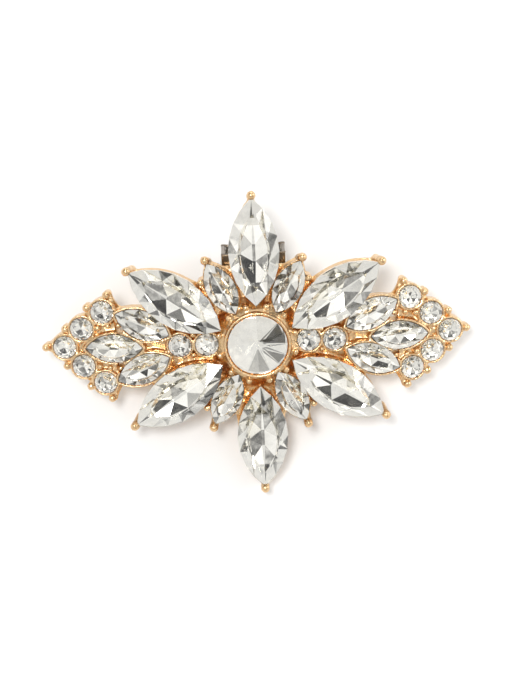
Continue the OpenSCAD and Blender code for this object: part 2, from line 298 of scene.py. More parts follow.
@dataclass(frozen=True)
class NickelPlating:
    """Bright nickel on pressed sheet steel, with fine rolling marks and scratches, and painted shade where
    the bracket faces the casting and at its far edges.
    """

    tone: Triple = (0.74, 0.72, 0.68)
    dull: Triple = (0.58, 0.56, 0.53)
    # The next two colours are painted shade for the faces towards the casting and the far edges.
    painted_shade: Triple = (0.10, 0.07, 0.045)
    dull_painted_shade: Triple = (0.20, 0.15, 0.10)
    cloud_scale: float = 0.5
    roll_stretch: Triple = (8, 0.5, 0.5)
    roll_scale: float = 2.0
    roughness: Span = (0.24, 0.10)
    scratch: float = 0.006

    def material(self, lie: Lie) -> Material:
        """Makes the plating.

        Args:
            lie: How the clip lies.

        Returns:
            The material.
        """
        s = Shader("nickel_plating", lie)
        clouds = s.noise(s.own_place(), self.cloud_scale)
        lines = s.noise(s.own_place(self.roll_stretch), self.roll_scale, 4)
        bright = s.ramp(clouds, (0.35, self.dull), (0.6, self.tone))
        painted_shade_tone = s.ramp(clouds, (0.35, self.painted_shade), (0.7, self.dull_painted_shade))
        return s.surface(
            # Painted shade mixed in where the bracket faces the casting and at its far edges.
            Base_Color=s.mix(s.attribute("painted_shade"), bright, painted_shade_tone),
            Metallic=1.0,
            Roughness=s.mapped(clouds, 0.3, 0.7, self.roughness),
            Normal=s.bump(lines, self.scratch),
        )


@dataclass(frozen=True)
class SpringSteel:
    """Blue-grey tempered steel."""

    pale: Triple = (0.42, 0.43, 0.45)
    dark: Triple = (0.22, 0.22, 0.24)
    roughness: float = 0.34
    streak_stretch: Triple = (5, 0.6, 0.6)
    streak_scale: float = 1.4
    streak: float = 0.008

    def material(self, lie: Lie) -> Material:
        """Makes the steel.

        Args:
            lie: How the clip lies.

        Returns:
            The material.
        """
        s = Shader("spring_steel", lie)
        streaks = s.noise(s.own_place(self.streak_stretch), self.streak_scale, 4)
        tone = s.ramp(streaks, (0.3, self.dark), (0.65, self.pale))
        normal = s.bump(streaks, self.streak)
        return s.surface(Base_Color=tone, Metallic=1.0, Roughness=self.roughness, Normal=normal)


@dataclass(frozen=True)
class CrystalGlass:
    """Clear crystal glass over a silver foil."""

    tint: Triple = (0.995, 0.997, 0.985)
    clear: Triple = (1.0, 1.0, 1.0)
    ior: float = 1.56
    foil_light: Triple = (0.985, 0.965, 0.905)
    foil_dark: Triple = (0.92, 0.90, 0.84)
    # A painted dark reflection tone for some foil facets.
    foil_painted_dark_reflection: Triple = (0.10, 0.098, 0.09)
    foil_roughness: float = 0.07

    def glass(self, lie: Lie) -> Material:
        """Makes the glass of crown and girdle.

        Args:
            lie: How the clip lies.

        Returns:
            The material.
        """
        s = Shader("crystal_glass", lie)
        tone = s.ramp(s.noise(s.own_place(), 0.25, 2), (0.3, self.tint), (0.7, self.clear))
        return s.surface(Base_Color=tone, Roughness=0.0, IOR=self.ior, Transmission_Weight=1.0)

    def foil(self, lie: Lie) -> Material:
        """Makes the silver foil under the glass, with painted dark reflections on some facets.

        Args:
            lie: How the clip lies.

        Returns:
            The material.
        """
        s = Shader("silver_foil", lie)
        cloud = s.noise(s.own_place(), 1.1, 3)
        silver = s.ramp(cloud, (0.35, self.foil_dark), (0.6, self.foil_light))
        painted_dark_reflection = s.ramp(cloud, (0.3, self.foil_painted_dark_reflection), (0.9, self.foil_dark))
        # Facets marked on the stones get a painted dark reflection instead of silver.
        tone = s.mix(s.attribute("painted_dark_reflection"), silver, painted_dark_reflection)
        return s.surface(Base_Color=tone, Metallic=1.0, Roughness=self.foil_roughness)


@dataclass(frozen=True)
class TablePaper:
    """Matt pale paper, a shade uneven."""

    tone: Triple = (0.94, 0.94, 0.935)
    dim: float = 0.985

    def material(self, lie: Lie) -> Material:
        """Makes the paper.

        Args:
            lie: How the clip lies.

        Returns:
            The material.
        """
        s = Shader("table_paper", lie)
        dim = tuple(self.dim * c for c in self.tone)
        tone = s.ramp(s.noise(s.own_place(), 0.02, 2), (0.3, dim), (0.7, self.tone))
        return s.surface(Base_Color=tone, Roughness=0.9, Specular_IOR_Level=0.2)


@dataclass(frozen=True)
class Palette:
    """The finishes, made once."""

    gold: Material
    nickel: Material
    spring: Material
    glass: Material
    foil: Material

    @classmethod
    def mixed(cls, lie: Lie) -> Palette:
        """Makes every finish."""
        metals = [finish.material(lie) for finish in (GoldPlating(), NickelPlating(), SpringSteel())]
        return cls(*metals, CrystalGlass().glass(lie), CrystalGlass().foil(lie))


# Places


@dataclass(frozen=True)
class Lie:
    """How the clip lies: its own frame laid down in the row's frame."""

    tilt: float
    place: Vector

    @classmethod
    def from_frame(cls, frame: dict, hinge: Vector) -> Lie:
        """Reads the tilt from the seat's mount and the place from the hinge.

        Args:
            hinge: The hinge's place in the clip's own frame, in millimetres.

        Returns:
            The lie.
        """
        seat = next(m for m in frame["record"]["mounts"] if m["kind"] == "flat_face")
        tilt = math.atan2(seat["axis"][1], -seat["axis"][2])
        joint = Vector(frame["joints"][0]["pos_m"])
        return cls(tilt, joint - Matrix.Rotation(tilt, 3, "X") @ (hinge * MM))

    def matrix(self) -> Matrix:
        """The move from own millimetres to the row's metres."""
        return Matrix.Translation(self.place) @ Matrix.Rotation(self.tilt, 4, "X") @ Matrix.Scale(MM, 4)


def dome_fall(out: float | Field) -> float | Field:
    """How far the dome falls away at a distance from its middle, below 0."""
    return np.sqrt(DOME_R * DOME_R - out * out) - DOME_R


def arc(turn: float) -> Span:
    """The cosine and sine of a turn in degrees."""
    return math.cos(math.radians(turn)), math.sin(math.radians(turn))


@dataclass(frozen=True)
class Setting:
    """Where one stone or bead stands on the dome, and the lean that a hand gave it."""

    x: float
    y: float
    turn: float = 0.0
    seed: int = 0
    lean: float = 2.0
    lean_turns: Span = (137.5, 222.5)

    def matrix(self) -> Matrix:
        """The move from its own frame, square to the dome, to the clip's.

        Returns:
            The move.
        """
        out = math.hypot(self.x, self.y)
        tip = Matrix.Identity(4)
        if out:
            tip = Matrix.Rotation(math.asin(out / DOME_R), 4, Vector((-self.y, self.x, 0)))
        across, along = [math.radians(self.lean * arc(k * self.seed)[1]) for k in self.lean_turns]
        return (
            Matrix.Translation((self.x, self.y, dome_fall(out)))
            @ tip
            @ Matrix.Rotation(math.radians(self.turn), 4, "Z")
            @ Matrix.Rotation(along, 4, "Y")
            @ Matrix.Rotation(across, 4, "X")
        )

    def way(self, own: Vector) -> Vector:
        """A direction of its own frame in the clip's."""
        return self.matrix().to_3x3() @ own


def quartered(*places: tuple) -> list[tuple]:
    """Places of the first quadrant in all four, with what else their rows hold."""
    return [(qx * x, qy * y, *rest) for x, y, *rest in places for qx, qy in QUADRANTS]


@dataclass(frozen=True)
class Layout:
    """Places of all the stones, as in the CAD model."""

    diagonal: Triple = (10.76, 6.41, 34.3)
    petal: Triple = (4.48, 7.66, 63.0)
    wing: Triple = (15.54, 3.08, 24.0)
    upright_y: float = 12.72
    end_navette_x: float = 19.34
    round_line_x: Span = (6.89, 10.53)
    round_apex_x: float = 26.3
    round_corners: tuple = ((23.8, 2.63), (20.86, 4.93))
    end_beads: tuple = ((20.18, 7.25), (22.98, 5.52), (26.08, 2.6))
    end_tips: Span = (28.55, -28.85)
    claw_ring_r: float = 5.27
    claw_angles: tuple = (15, 45, 75)
    crotch_bead: Span = (7.23, 8.7)
    fill_beads: tuple = (
        (24.15, 0.78, 0.36), (21.6, 2.7, 0.48), (20.2, 2.95, 0.42),
        (18.75, 3.0, 0.4), (8.71, 1.42, 0.42), (12.45, 0.85, 0.36),
    )

    @staticmethod
    def mirrored(place: Triple, seed: int) -> list[Setting]:
        """A place of the first quadrant and its outer tip's way, mirrored into all four.

        Args:
            place: Its x, y and the tip's way.
            seed: The first one's seed.

        Returns:
            The settings.
        """
        x, y, way = place
        turns = [qx * qy * way + (180 if qx < 0 else 0) for qx, qy in QUADRANTS]
        spots = zip(quartered((x, y)), turns)
        return [Setting(*spot, turn, seed + i) for i, (spot, turn) in enumerate(spots)]

    def large(self) -> list[Setting]:
        """The large navettes: top, bottom and the four diagonals."""
        upright = [Setting(0, s * self.upright_y, s * 90, 1 + i) for i, s in enumerate(SIDES)]
        return upright + self.mirrored(self.diagonal, 3)

    def petals(self) -> list[Setting]:
        """The small navettes between the large ones."""
        return self.mirrored(self.petal, 11)

    def small(self) -> list[Setting]:
        """The small navettes: petals, wings and the two ends."""
        ends = [Setting(s * self.end_navette_x, 0, 90 - s * 90, 19 + i) for i, s in enumerate(SIDES)]
        return self.petals() + self.mirrored(self.wing, 15) + ends

    def rounds(self) -> list[Setting]:
        """The round stones: the line through the middle, the apexes and the corners.

        Returns:
            The settings.
        """
        spots = [(s * x, 0.0) for s in SIDES for x in self.round_line_x]
        spots += [(s * self.round_apex_x, 0.0) for s in SIDES]
        spots += quartered(*self.round_corners)
        return [Setting(x, y, seed=31 + i) for i, (x, y) in enumerate(spots)]

    def rim_beads(self) -> list[Setting]:
        """The beads along the rims of the two ends."""
        beads = [*quartered(*self.end_beads), *((x, 0) for x in self.end_tips)]
        return [Setting(x, y) for x, y in beads]

    def ring_claws(self) -> list[Setting]:
        """The claws round the centre stone and the beads beside the diagonals."""
        spots = [tuple(self.claw_ring_r * c for c in arc(a)) for a in self.claw_angles]
        return [Setting(qx * x, qy * y) for qx, qy in QUADRANTS for x, y in (*spots, self.crotch_bead)]


# Shapes as signed distances, below 0 inside


def smooth_least(a: Field, b: Field, fillet: float) -> Field:
    """The lesser of two distances, with a fillet where they meet.

    Args:
        a: One distance.
        b: The other.
        fillet: The fillet's size.

    Returns:
        The joined distance.
    """
    if fillet <= 0:
        return np.minimum(a, b)
    near = np.maximum(fillet - np.abs(a - b), 0) / fillet
    return np.minimum(a, b) - near * near * fillet / 4


def smooth_most(a: Field, b: Field, fillet: float) -> Field:
    """The greater of two distances, with a rounded edge where they meet."""
    return -smooth_least(-a, -b, fillet)


def within(value: Field, low: float, high: float) -> Field:
    """Distance to the slab between two planes."""
    return np.maximum(low - value, value - high)


def lens(x: Field, y: Field, length: float, width: float) -> Field:
    """Distance to a pointed oval of two arcs.

    Args:
        x: Places along it.
        y: Places across it.
        length: Tip to tip.
        width: Across the middle.

    Returns:
        The distance.
    """
    a, b = length / 2, width / 2
    r = (a * a + b * b) / (2 * b)
    return np.hypot(x, np.abs(y) + (r - b)) - r


def convex(points: Sequence[Span]) -> list[Span]:
    """The corners of the outline round some points, anticlockwise.

    Args:
        points: The points.

    Returns:
        The corners.
    """
    ordered = sorted(set(points))
    corners = []
    for row in (ordered, ordered[::-1]):
        side = []
        for x, y in row:
            while len(side) > 1:
                (ax, ay), (bx, by) = side[-2:]
                if (bx - ax) * (y - ay) > (by - ay) * (x - ax):
                    break
                side.pop()
            side.append((x, y))
        corners += side[:-1]
    return corners


def polygon(x: Field, y: Field, corners: Sequence[Span]) -> Field:
    """Distance to a convex outline of corners that go round anticlockwise.

    Args:
        x: Places one way.
        y: Places the other way.
        corners: The corners.

    Returns:
        The distance.
    """
    sides = []
    for (ax, ay), (bx, by) in zip(corners, [*corners[1:], corners[0]]):
        run = math.hypot(bx - ax, by - ay)
        sides.append(((by - ay) * (x - ax) - (bx - ax) * (y - ay)) / run)
    return np.maximum.reduce(sides)


def bar(foot: Vector, bead: Vector, radii: Span) -> Shape:
    """A tapered round bar.

    Args:
        foot: Its lower end.
        bead: Its upper end.
        radii: The radius at each end.

    Returns:
        Its shape.
    """
    run = [b - a for a, b in zip(foot, bead)]

    def shape(*places: Field) -> Field:
        """The bar's distance.

        Args:
            *places: Places along x, y and z.

        Returns:
            The distance.
        """
        along = sum((p - a) * d for p, a, d in zip(places, foot, run)) / sum(d * d for d in run)
        t = np.clip(along, 0, 1)
        gap = np.sqrt(sum((p - a - t * d) ** 2 for p, a, d in zip(places, foot, run)))
        return gap - (radii[0] + (radii[1] - radii[0]) * t)

    return shape


class Melt:
    """A block of signed distances that shapes are melted into and cut from."""

    FAR = 3.0

    def __init__(self, low: Sequence[float], high: Sequence[float], pitch: float) -> None:
        """Starts with an empty block.

        Args:
            low: Its lowest corner, in millimetres.
            high: Its highest corner.
            pitch: The distance between its points.
        """
        self.low = np.array(low, float)
        self.high = np.array(high, float)
        self.pitch = pitch
        count = np.ceil((self.high - self.low) / pitch).astype(int) + 1
        self.values = np.full(count, self.FAR, dtype=np.float32)

    def window(self, reach: Sequence | None = None) -> tuple[tuple, list[Field]]:
        """A part of the block, or all of it.

        Args:
            reach: The part's lowest and its highest corner.

        Returns:
            Its slices, and its places along x, y and z.
        """
        low, high = (np.array(corner) for corner in reach or (self.low, self.high))
        first = np.clip(np.floor((low - self.low) / self.pitch).astype(int), 0, None)
        last = np.minimum(np.ceil((high - self.low) / self.pitch).astype(int) + 1, self.values.shape)
        spans = tuple(slice(a, b) for a, b in zip(first, last))
        axes = [self.low[i] + self.pitch * np.arange(first[i], last[i], dtype=np.float32) for i in range(3)]
        return spans, list(np.meshgrid(*axes, indexing="ij", sparse=True))

    def add(self, shape: Shape, fillet: float, reach: Sequence | None = None) -> None:
        """Melts a shape into a part of the block, with a fillet where it meets what is there."""
        spans, places = self.window(reach)
        self.values[spans] = smooth_least(self.values[spans], shape(*places), fillet)

    def cut(self, shape: Shape, fillet: float, reach: Sequence | None = None) -> None:
        """Cuts a shape from a part of the block, and rounds the new edges."""
        spans, places = self.window(reach)
        self.values[spans] = smooth_most(self.values[spans], -shape(*places), fillet)

    def placed(self, place: Setting, shape: Shape, reach: Sequence[Span], fillet: float,
               cut: bool = False) -> None:
        """Melts in or cuts a shape that is drawn in a setting's own frame.

        Args:
            place: The setting.
            shape: Its distance in its own frame.
            reach: Lowest and highest x, y and z in its own frame.
            fillet: The fillet or rounding.
            cut: Whether it is cut away.
        """
        move = place.matrix()
        back = np.array(move.inverted())[:3]
        corners = [move @ Vector((a, b, c)) for a in reach[0] for b in reach[1] for c in reach[2]]
        (self.cut if cut else self.add)(
            lambda x, y, z: shape(*(r[0] * x + r[1] * y + r[2] * z + r[3] for r in back)),
            fillet,
            (np.min(corners, axis=0), np.max(corners, axis=0)),
        )

    def crowding(self, reach: int) -> Field:
        """How much metal stands round each point: 0.5 on a flat face, more in a hollow.

        Args:
            reach: How many points away it looks.

        Returns:
            A block of shares.
        """
        share = (self.values < 0).astype(np.float32)
        width = 2 * reach + 1
        for axis in range(3):
            pads = [(reach + 1, reach) if i == axis else (0, 0) for i in range(3)]
            total = np.cumsum(np.pad(share, pads, mode="edge"), axis=axis)
            ahead = np.take(total, range(width, total.shape[axis]), axis=axis)
            behind = np.take(total, range(0, total.shape[axis] - width), axis=axis)
            share = (ahead - behind) / width
        return share

    def read(self, block: Field, points: Field) -> Field:
        """A block's values at points between its own.

        Args:
            block: A block as big as this one.
            points: Rows of x, y and z.

        Returns:
            A value for each point.
        """
        at = np.clip((points - self.low) / self.pitch, 0, np.array(block.shape) - 1.001)
        base = at.astype(int)
        part = at - base
        out = np.zeros(len(points))
        for corner in np.ndindex(2, 2, 2):
            weight = np.prod(np.where(corner, part, 1 - part), axis=1)
            out += weight * block[tuple((base + corner).T)]
        return out

    def mesh(self, name: str) -> Mesh:
        """The surface where the distance is 0.

        Args:
            name: The mesh's name.

        Returns:
            A closed mesh in the block's frame.
        """
        grid = openvdb.FloatGrid(self.FAR)
        grid.copyFromArray(self.values)
        points, _, quads = grid.convertToPolygons(isovalue=0.0, adaptivity=0.0)
        mesh = bpy.data.meshes.new(name)
        mesh.from_pydata((points * self.pitch + self.low).tolist(), [], quads[:, ::-1].tolist())
        mesh.validate()
        return mesh


# Meshes and finished pieces


def meshed(work: bmesh.types.BMesh, name: str) -> Mesh:
    """Ends work on a mesh.

    Args:
        work: The work.
        name: The mesh's name.

    Returns:
        The mesh.
    """
    mesh = bpy.data.meshes.new(name)
    work.to_mesh(mesh)
    work.free()
    return mesh


def linked(mesh: Mesh) -> Object:
    """Shows a mesh as an object of the same name.

    Args:
        mesh: The mesh.

    Returns:
        The object.
    """
    obj = bpy.data.objects.new(mesh.name, mesh)
    bpy.context.scene.collection.objects.link(obj)
    return obj


def evaluated(obj: Object) -> Object:
    """Turns an object's modifiers into a plain mesh.

    Args:
        obj: The object.

    Returns:
        The same object.
    """
    graph = bpy.context.evaluated_depsgraph_get()
    done = bpy.data.meshes.new_from_object(obj.evaluated_get(graph), depsgraph=graph)
    done.name = obj.name
    obj.modifiers.clear()
    obj.data = done
    return obj


def thinned(mesh: Mesh, triangles: int) -> Object:
    """Shows a dense mesh, brought down to a number of triangles.

    Args:
        mesh: The mesh.
        triangles: The most that it may have.

    Returns:
        The object.
    """
    obj = linked(mesh)
    mesh.calc_loop_triangles()
    share = triangles / max(len(mesh.loop_triangles), 1)
    if share < 1:
        obj.modifiers.new("thin", "DECIMATE").ratio = share
        evaluated(obj)
    return obj


def swept(name: str, rows: Sequence[Sequence[tuple]]) -> Object:
    """A closed solid through rings of points.

    Args:
        name: The piece's name.
        rows: The rings in order, with as many points each.

    Returns:
        The solid.
    """
    work = bmesh.new()
    rings = [[work.verts.new(point) for point in row] for row in rows]
    for one, two in zip(rings, rings[1:]):
        for corners in zip(one, one[1:] + one[:1], two[1:] + two[:1], two):
            work.faces.new(corners)
    work.faces.new(rings[0])
    work.faces.new(rings[-1])
    bmesh.ops.recalc_face_normals(work, faces=work.faces)
    return linked(meshed(work, name))


def written(mesh: Mesh, name: str, values: Field, domain: str = "POINT") -> None:
    """Writes a number on each point or face of a mesh."""
    mesh.attributes.new(name, "FLOAT", domain).data.foreach_set("value", values.astype(np.float32))


def places_of(items: bpy.types.bpy_prop_collection, name: str) -> Field:
    """Where the points or faces of a mesh are.

    Args:
        items: The points or faces.
        name: The property that holds their places.

    Returns:
        Rows of x, y and z.
    """
    flat = np.empty(len(items) * 3, dtype=np.float32)
    items.foreach_get(name, flat)
    return flat.reshape(-1, 3)


@dataclass
class Piece:
    """What each sub-assembly has at hand: how the clip lies, and its finishes."""

    lie: Lie
    palette: Palette

    def hand_over(self, obj: Object, body: str, slot: Slot, *nodes: str,
                  dress: Sequence[Material] = ()) -> None:
        """Dresses a shaped piece, lays it down and says what it stands for.

        Args:
            obj: The piece, in the clip's own frame.
            body: The CAD body that it rides on.
            slot: The record's slot, which here only decides whether the piece is shaded smooth.
            *nodes: The CAD nodes that it replaces.
            dress: Its materials.
        """
        if dress and slot is not Slot.CRYSTAL:
            obj.data.shade_smooth()
        for material in dress:
            obj.data.materials.append(material)
        obj.data.transform(self.lie.matrix())
        obj.data.update()
        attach(obj, body)
        if nodes:
            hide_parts(*nodes)
        LOG.info("%s: %d faces on %s", obj.name, len(obj.data.polygons), body)


# Stones


class Cut(Enum):
    """The outlines that the stones are cut to."""

    NAVETTE = "navette"
    ROUND = "round"


@dataclass(frozen=True)
class Ring:
    """One ring of a stone's corners.

    Along and across are shares of the stone's outline. The rise from the
    girdle's edge is a share of the crown's height.
    """

    along: float
    across: float
    rise: float
    count: int
    phase: float = 0.0


@dataclass(frozen=True)
class Facets:
    """The rings of a stone's crown and of its foil, each from the girdle on."""

    crown: tuple[Ring, ...]
    foil: tuple[Ring, ...]

    @classmethod
    def navette(cls, table: float) -> Facets:
        """A navette's facets.

        Args:
            table: The table's share of the outline.

        Returns:
            The facets.
        """
        girdle = Ring(1, 1, 0, 16)
        return cls(
            (girdle, Ring(table + 0.1, table, 1, 8, 0.5)),
            (girdle, Ring(table + 0.12, table, 0.26, 8), Ring(0.28, 0.08, -0.08, 4, 0.5)),
        )

    @classmethod
    def brilliant(cls) -> Facets:
        """A small round stone's facets.

        Returns:
            The facets.
        """
        girdle = Ring(1, 1, 0, 24)
        return cls(
            (girdle, Ring(0.78, 0.78, 0.58, 8, 0.5), Ring(0.5, 0.5, 1, 8)),
            (girdle, Ring(0.58, 0.58, 0.26, 8, 0.5), Ring(0.08, 0.08, 0.1, 8)),
        )

    @classmethod
    def pointed(cls, crown_h: float) -> Facets:
        """Facets that meet in a point, over a foil that hardly rises.

        Args:
            crown_h: The crown's height.

        Returns:
            The facets.
        """
        girdle = Ring(1, 1, 0, 32)
        return cls(
            (girdle, Ring(0.93, 0.93, 0.07, 16), Ring(0.03, 0.03, 1, 16)),
            (girdle, Ring(0.93, 0.93, 0.02 / crown_h, 16), Ring(0.03, 0.03, 0.23 / crown_h, 16)),
        )


@dataclass(frozen=True)
class Cup:
    """The outside of a stone's cup: its rise over the girdle, its wall and its taper."""

    rise: float
    grow: Span
    foot_share: float = 1.0
    top_share: float = 1.0


@dataclass(frozen=True)
class StoneKind:
    """One kind of stone: its outline, depth, facets and cup."""

    name: str
    cut: Cut
    length: float
    width: float
    girdle_z: float
    depth: float
    crown: float
    facets: Facets
    cup: Cup
    # Share of foil facets that get painted dark reflections.
    painted_dark_reflection: float = 0.0
    seat_gap: float = 0.0
    half_girdle: float = 0.15
    seat_taper: float = 0.9
    lens_taper: Span = (0.55, 0.75)
    cup_round: float = 0.12

    def corner(self, u: float, ring: Ring) -> Span:
        """A corner on a ring.

        Args:
            u: How far round it is, from 0 to 1.
            ring: The ring.

        Returns:
            Its place along and across the stone.
        """
        a, b = self.length / 2, self.width / 2
        if self.cut is Cut.ROUND:
            turn = 2 * math.pi * u
            return ring.along * a * math.cos(turn), ring.across * b * math.sin(turn)
        r = (a * a + b * b) / (2 * b)
        half = math.asin(a / r)
        turn = half - 4 * half * (u % 0.5)
        side = 1 if u < 0.5 else -1
        x, y = r * math.sin(turn), r * math.cos(turn) - r + b
        return side * x * ring.along, side * y * ring.across

    def corners(self, ring: Ring) -> list[Triple]:
        """How far round each corner of a ring is, and its place."""
        turns = [(i + ring.phase) / ring.count for i in range(ring.count)]
        return [(u, *self.corner(u, ring)) for u in turns]

    def outline(self, x: Field, y: Field, share: Field, lens_shares: tuple, grow: Span = (0, 0)) -> Field:
        """Distance to the stone's outline, drawn smaller.

        Args:
            x: Places along it.
            y: Places across it.
            share: How much smaller a round one is, and how much shorter distances are.
            lens_shares: How much smaller a navette is, along and across.
            grow: How much longer and wider it is drawn first.

        Returns:
            The distance.
        """
        length, width = self.length + grow[0], self.width + grow[1]
        if self.cut is Cut.ROUND:
            return np.hypot(x, y) - length / 2 * share
        return lens(x / lens_shares[0], y / lens_shares[1], length, width) * share

    def seat(self, x: Field, y: Field, z: Field, gap: float) -> Field:
        """Distance to the stone's smooth hull, for its seat.

        Args:
            x: Places along it.
            y: Places across it.
            z: Heights.
            gap: How far the seat clears it.

        Returns:
            The distance.
        """
        up = z - self.girdle_z
        below = np.clip((-self.half_girdle - up) / self.depth, 0, 1)
        shares = [1 - taper * below for taper in self.lens_taper]
        flat = self.outline(x, y, 1 - self.seat_taper * below, shares)
        flat = flat - np.where(up > self.half_girdle, self.seat_gap, 0)
        return np.maximum(flat, -self.half_girdle - self.depth - up) - gap

    def cup_wall(self, x: Field, y: Field, z: Field, cup: Cup, foot: float) -> Field:
        """Distance to the outside of the stone's cup.

        Args:
            x: Places along it.
            y: Places across it.
            z: Heights.
            cup: The cup.
            foot: The height of its foot.

        Returns:
            The distance.
        """
        top = self.girdle_z + cup.rise
        taper = (cup.top_share - cup.foot_share) * np.clip((z - foot) / (top - foot), 0, 1)
        share = cup.foot_share + taper
        flat = self.outline(x, y, share, (share, share), cup.grow)
        return smooth_most(flat, within(z, foot, top), self.cup_round)


def band(work: bmesh.types.BMesh, lower: list, upper: list, slot: int) -> None:
    """Joins two rings with triangles.

    Args:
        work: The mesh that holds them.
        lower: The ring below, as how far round each corner is and the corner.
        upper: The ring above.
        slot: The faces' material.
    """
    i = j = 0
    na, nb = len(lower), len(upper)
    while i < na or j < nb:
        ua = lower[(i + 1) % na][0] + (i + 1) // na
        ub = upper[(j + 1) % nb][0] + (j + 1) // nb
        a, b = lower[i % na][1], upper[j % nb][1]
        if j >= nb or (i < na and ua <= ub):
            i += 1
            third = lower[i % na][1]
        else:
            j += 1
            third = upper[j % nb][1]
        work.faces.new((a, third, b)).material_index = slot


@dataclass
class Stones(Piece):
    """All the stones, each in its own setting."""

    layout: Layout
    large: StoneKind = StoneKind(
        "large_navette", Cut.NAVETTE, 15, 7, girdle_z=3.6, depth=2.9, crown=1.35,
        facets=Facets.navette(0.56), cup=Cup(-0.1, (0, 0), 0.88, 0.95), painted_dark_reflection=0.17,
    )
    small: StoneKind = StoneKind(
        "small_navette", Cut.NAVETTE, 8, 4, girdle_z=2.45, depth=1.75, crown=0.85,
        facets=Facets.navette(0.54), cup=Cup(0.25, (2.6 * RIM_W, 2 * RIM_W), 0.95), painted_dark_reflection=0.17,
    )
    round: StoneKind = StoneKind(
        "round_stone", Cut.ROUND, 3.15, 3.15, girdle_z=2.05, depth=1.35, crown=0.7,
        facets=Facets.brilliant(), cup=Cup(0.25, (2 * RIM_W, 2 * RIM_W)), painted_dark_reflection=0.2,
    )
    centre: StoneKind = StoneKind(
        "centre_stone", Cut.ROUND, 8.2, 8.2, girdle_z=3.3, depth=0.3, crown=1.75,
        facets=Facets.pointed(1.75), cup=Cup(0.35, (1.0, 1.0)), seat_gap=0.13,
    )
    # How far out and how dark the painted dark reflections reach.
    painted_dark_reflection_reach: float = 1.6
    painted_dark_reflection_depth: float = 0.9

    def settings(self) -> Iterator[tuple[str, StoneKind, Setting]]:
        """Every stone's node name, kind and setting.

        Yields:
            The three of one stone.
        """
        yield "centre_stone", self.centre, Setting(0, 0)
        rows = (
            (self.large, self.layout.large()),
            (self.small, self.layout.small()),
            (self.round, self.layout.rounds()),
        )
        for kind, places in rows:
            for i, place in enumerate(places):
                yield f"{kind.name}_{i + 1}", kind, place

    def cut_stone(self, name: str, kind: StoneKind, place: Setting) -> Mesh:
        """Cuts one stone.

        Args:
            name: Its mesh's name.
            kind: Its kind.
            place: Its setting.

        Returns:
            A closed mesh whose foil faces have the second material.
        """
        work = bmesh.new()
        sides = []
        for rings, girdle in ((kind.facets.crown, kind.half_girdle), (kind.facets.foil, -kind.half_girdle)):
            rows = []
            for ring in rings:
                z = girdle + kind.crown * ring.rise
                rows.append([(u, work.verts.new((x, y, z))) for u, x, y in kind.corners(ring)])
            sides.append(rows)
        top, low = sides
        for a, b in zip(top, top[1:]):
            band(work, a, b, 0)
        band(work, low[0], top[0], 1)
        for a, b in zip(low, low[1:]):
            band(work, b, a, 1)
        work.faces.new([v for _, v in top[-1]]).material_index = 0
        work.faces.new([v for _, v in low[-1]][::-1]).material_index = 1
        bmesh.ops.recalc_face_normals(work, faces=work.faces)
        mesh = meshed(work, name)
        self.paint_dark_reflections(mesh, kind, place.seed)
        mesh.transform(place.matrix() @ Matrix.Translation((0, 0, kind.girdle_z)))
        return mesh

    def paint_dark_reflections(self, mesh: Mesh, kind: StoneKind, seed: int) -> None:
        """Marks the facets whose foil gets painted dark reflections, most of them near the stone's middle.

        Args:
            mesh: The stone, lying round the origin.
            kind: Its kind.
            seed: The seed of its pattern.
        """
        x, y, _ = places_of(mesh.polygons, "center").astype(float).T
        odds = kind.painted_dark_reflection * np.clip(self.painted_dark_reflection_reach - np.hypot(x, y) / (kind.length / 2), 0, 1)
        dark = np.random.default_rng(seed).random(len(x)) < odds
        written(mesh, "painted_dark_reflection", self.painted_dark_reflection_depth * dark, "FACE")

    def build(self) -> None:
        """Builds and dresses every stone."""
        for node, kind, place in self.settings():
            obj = linked(self.cut_stone(f"{node}_cut", kind, place))
            dress = (self.palette.glass, self.palette.foil)
            self.hand_over(obj, CLIP_BODY, Slot.CRYSTAL, node, dress=dress)


# The casting


class Grain:
    """Seeded smooth noise over a plane."""

    SIZE = 64

    def __init__(self, seed: int) -> None:
        """Draws the noise."""
        self.table = np.random.default_rng(seed).random((self.SIZE, self.SIZE))

    def at(self, u: Field, v: Field) -> Field:
        """Reads the noise.

        Args:
            u: Places one way, a grain apart.
            v: Places the other way.

        Returns:
            Values from -1 to 1.
        """
        iu, iv = np.floor(u).astype(int), np.floor(v).astype(int)
        fu, fv = u - iu, v - iv
        fu, fv = fu * fu * (3 - 2 * fu), fv * fv * (3 - 2 * fv)
        n = self.SIZE
        rows = []
        for j in (iv % n, (iv + 1) % n):
            rows.append(self.table[iu % n, j] * (1 - fu) + self.table[(iu + 1) % n, j] * fu)
        return 2 * (rows[0] * (1 - fv) + rows[1] * fv) - 1


@dataclass(frozen=True)
class Prong:
    """A prong at a navette's outer tip: its foot and its bead, in the stone's frame."""

    place: Setting
    foot: Vector
    bead: Vector


@dataclass(frozen=True)
class Post:
    """A tapered post that stands on the web: its ends' heights and radii, its fillet and its reach."""

    z: Span
    radii: Span
    fillet: float
    reach: Span


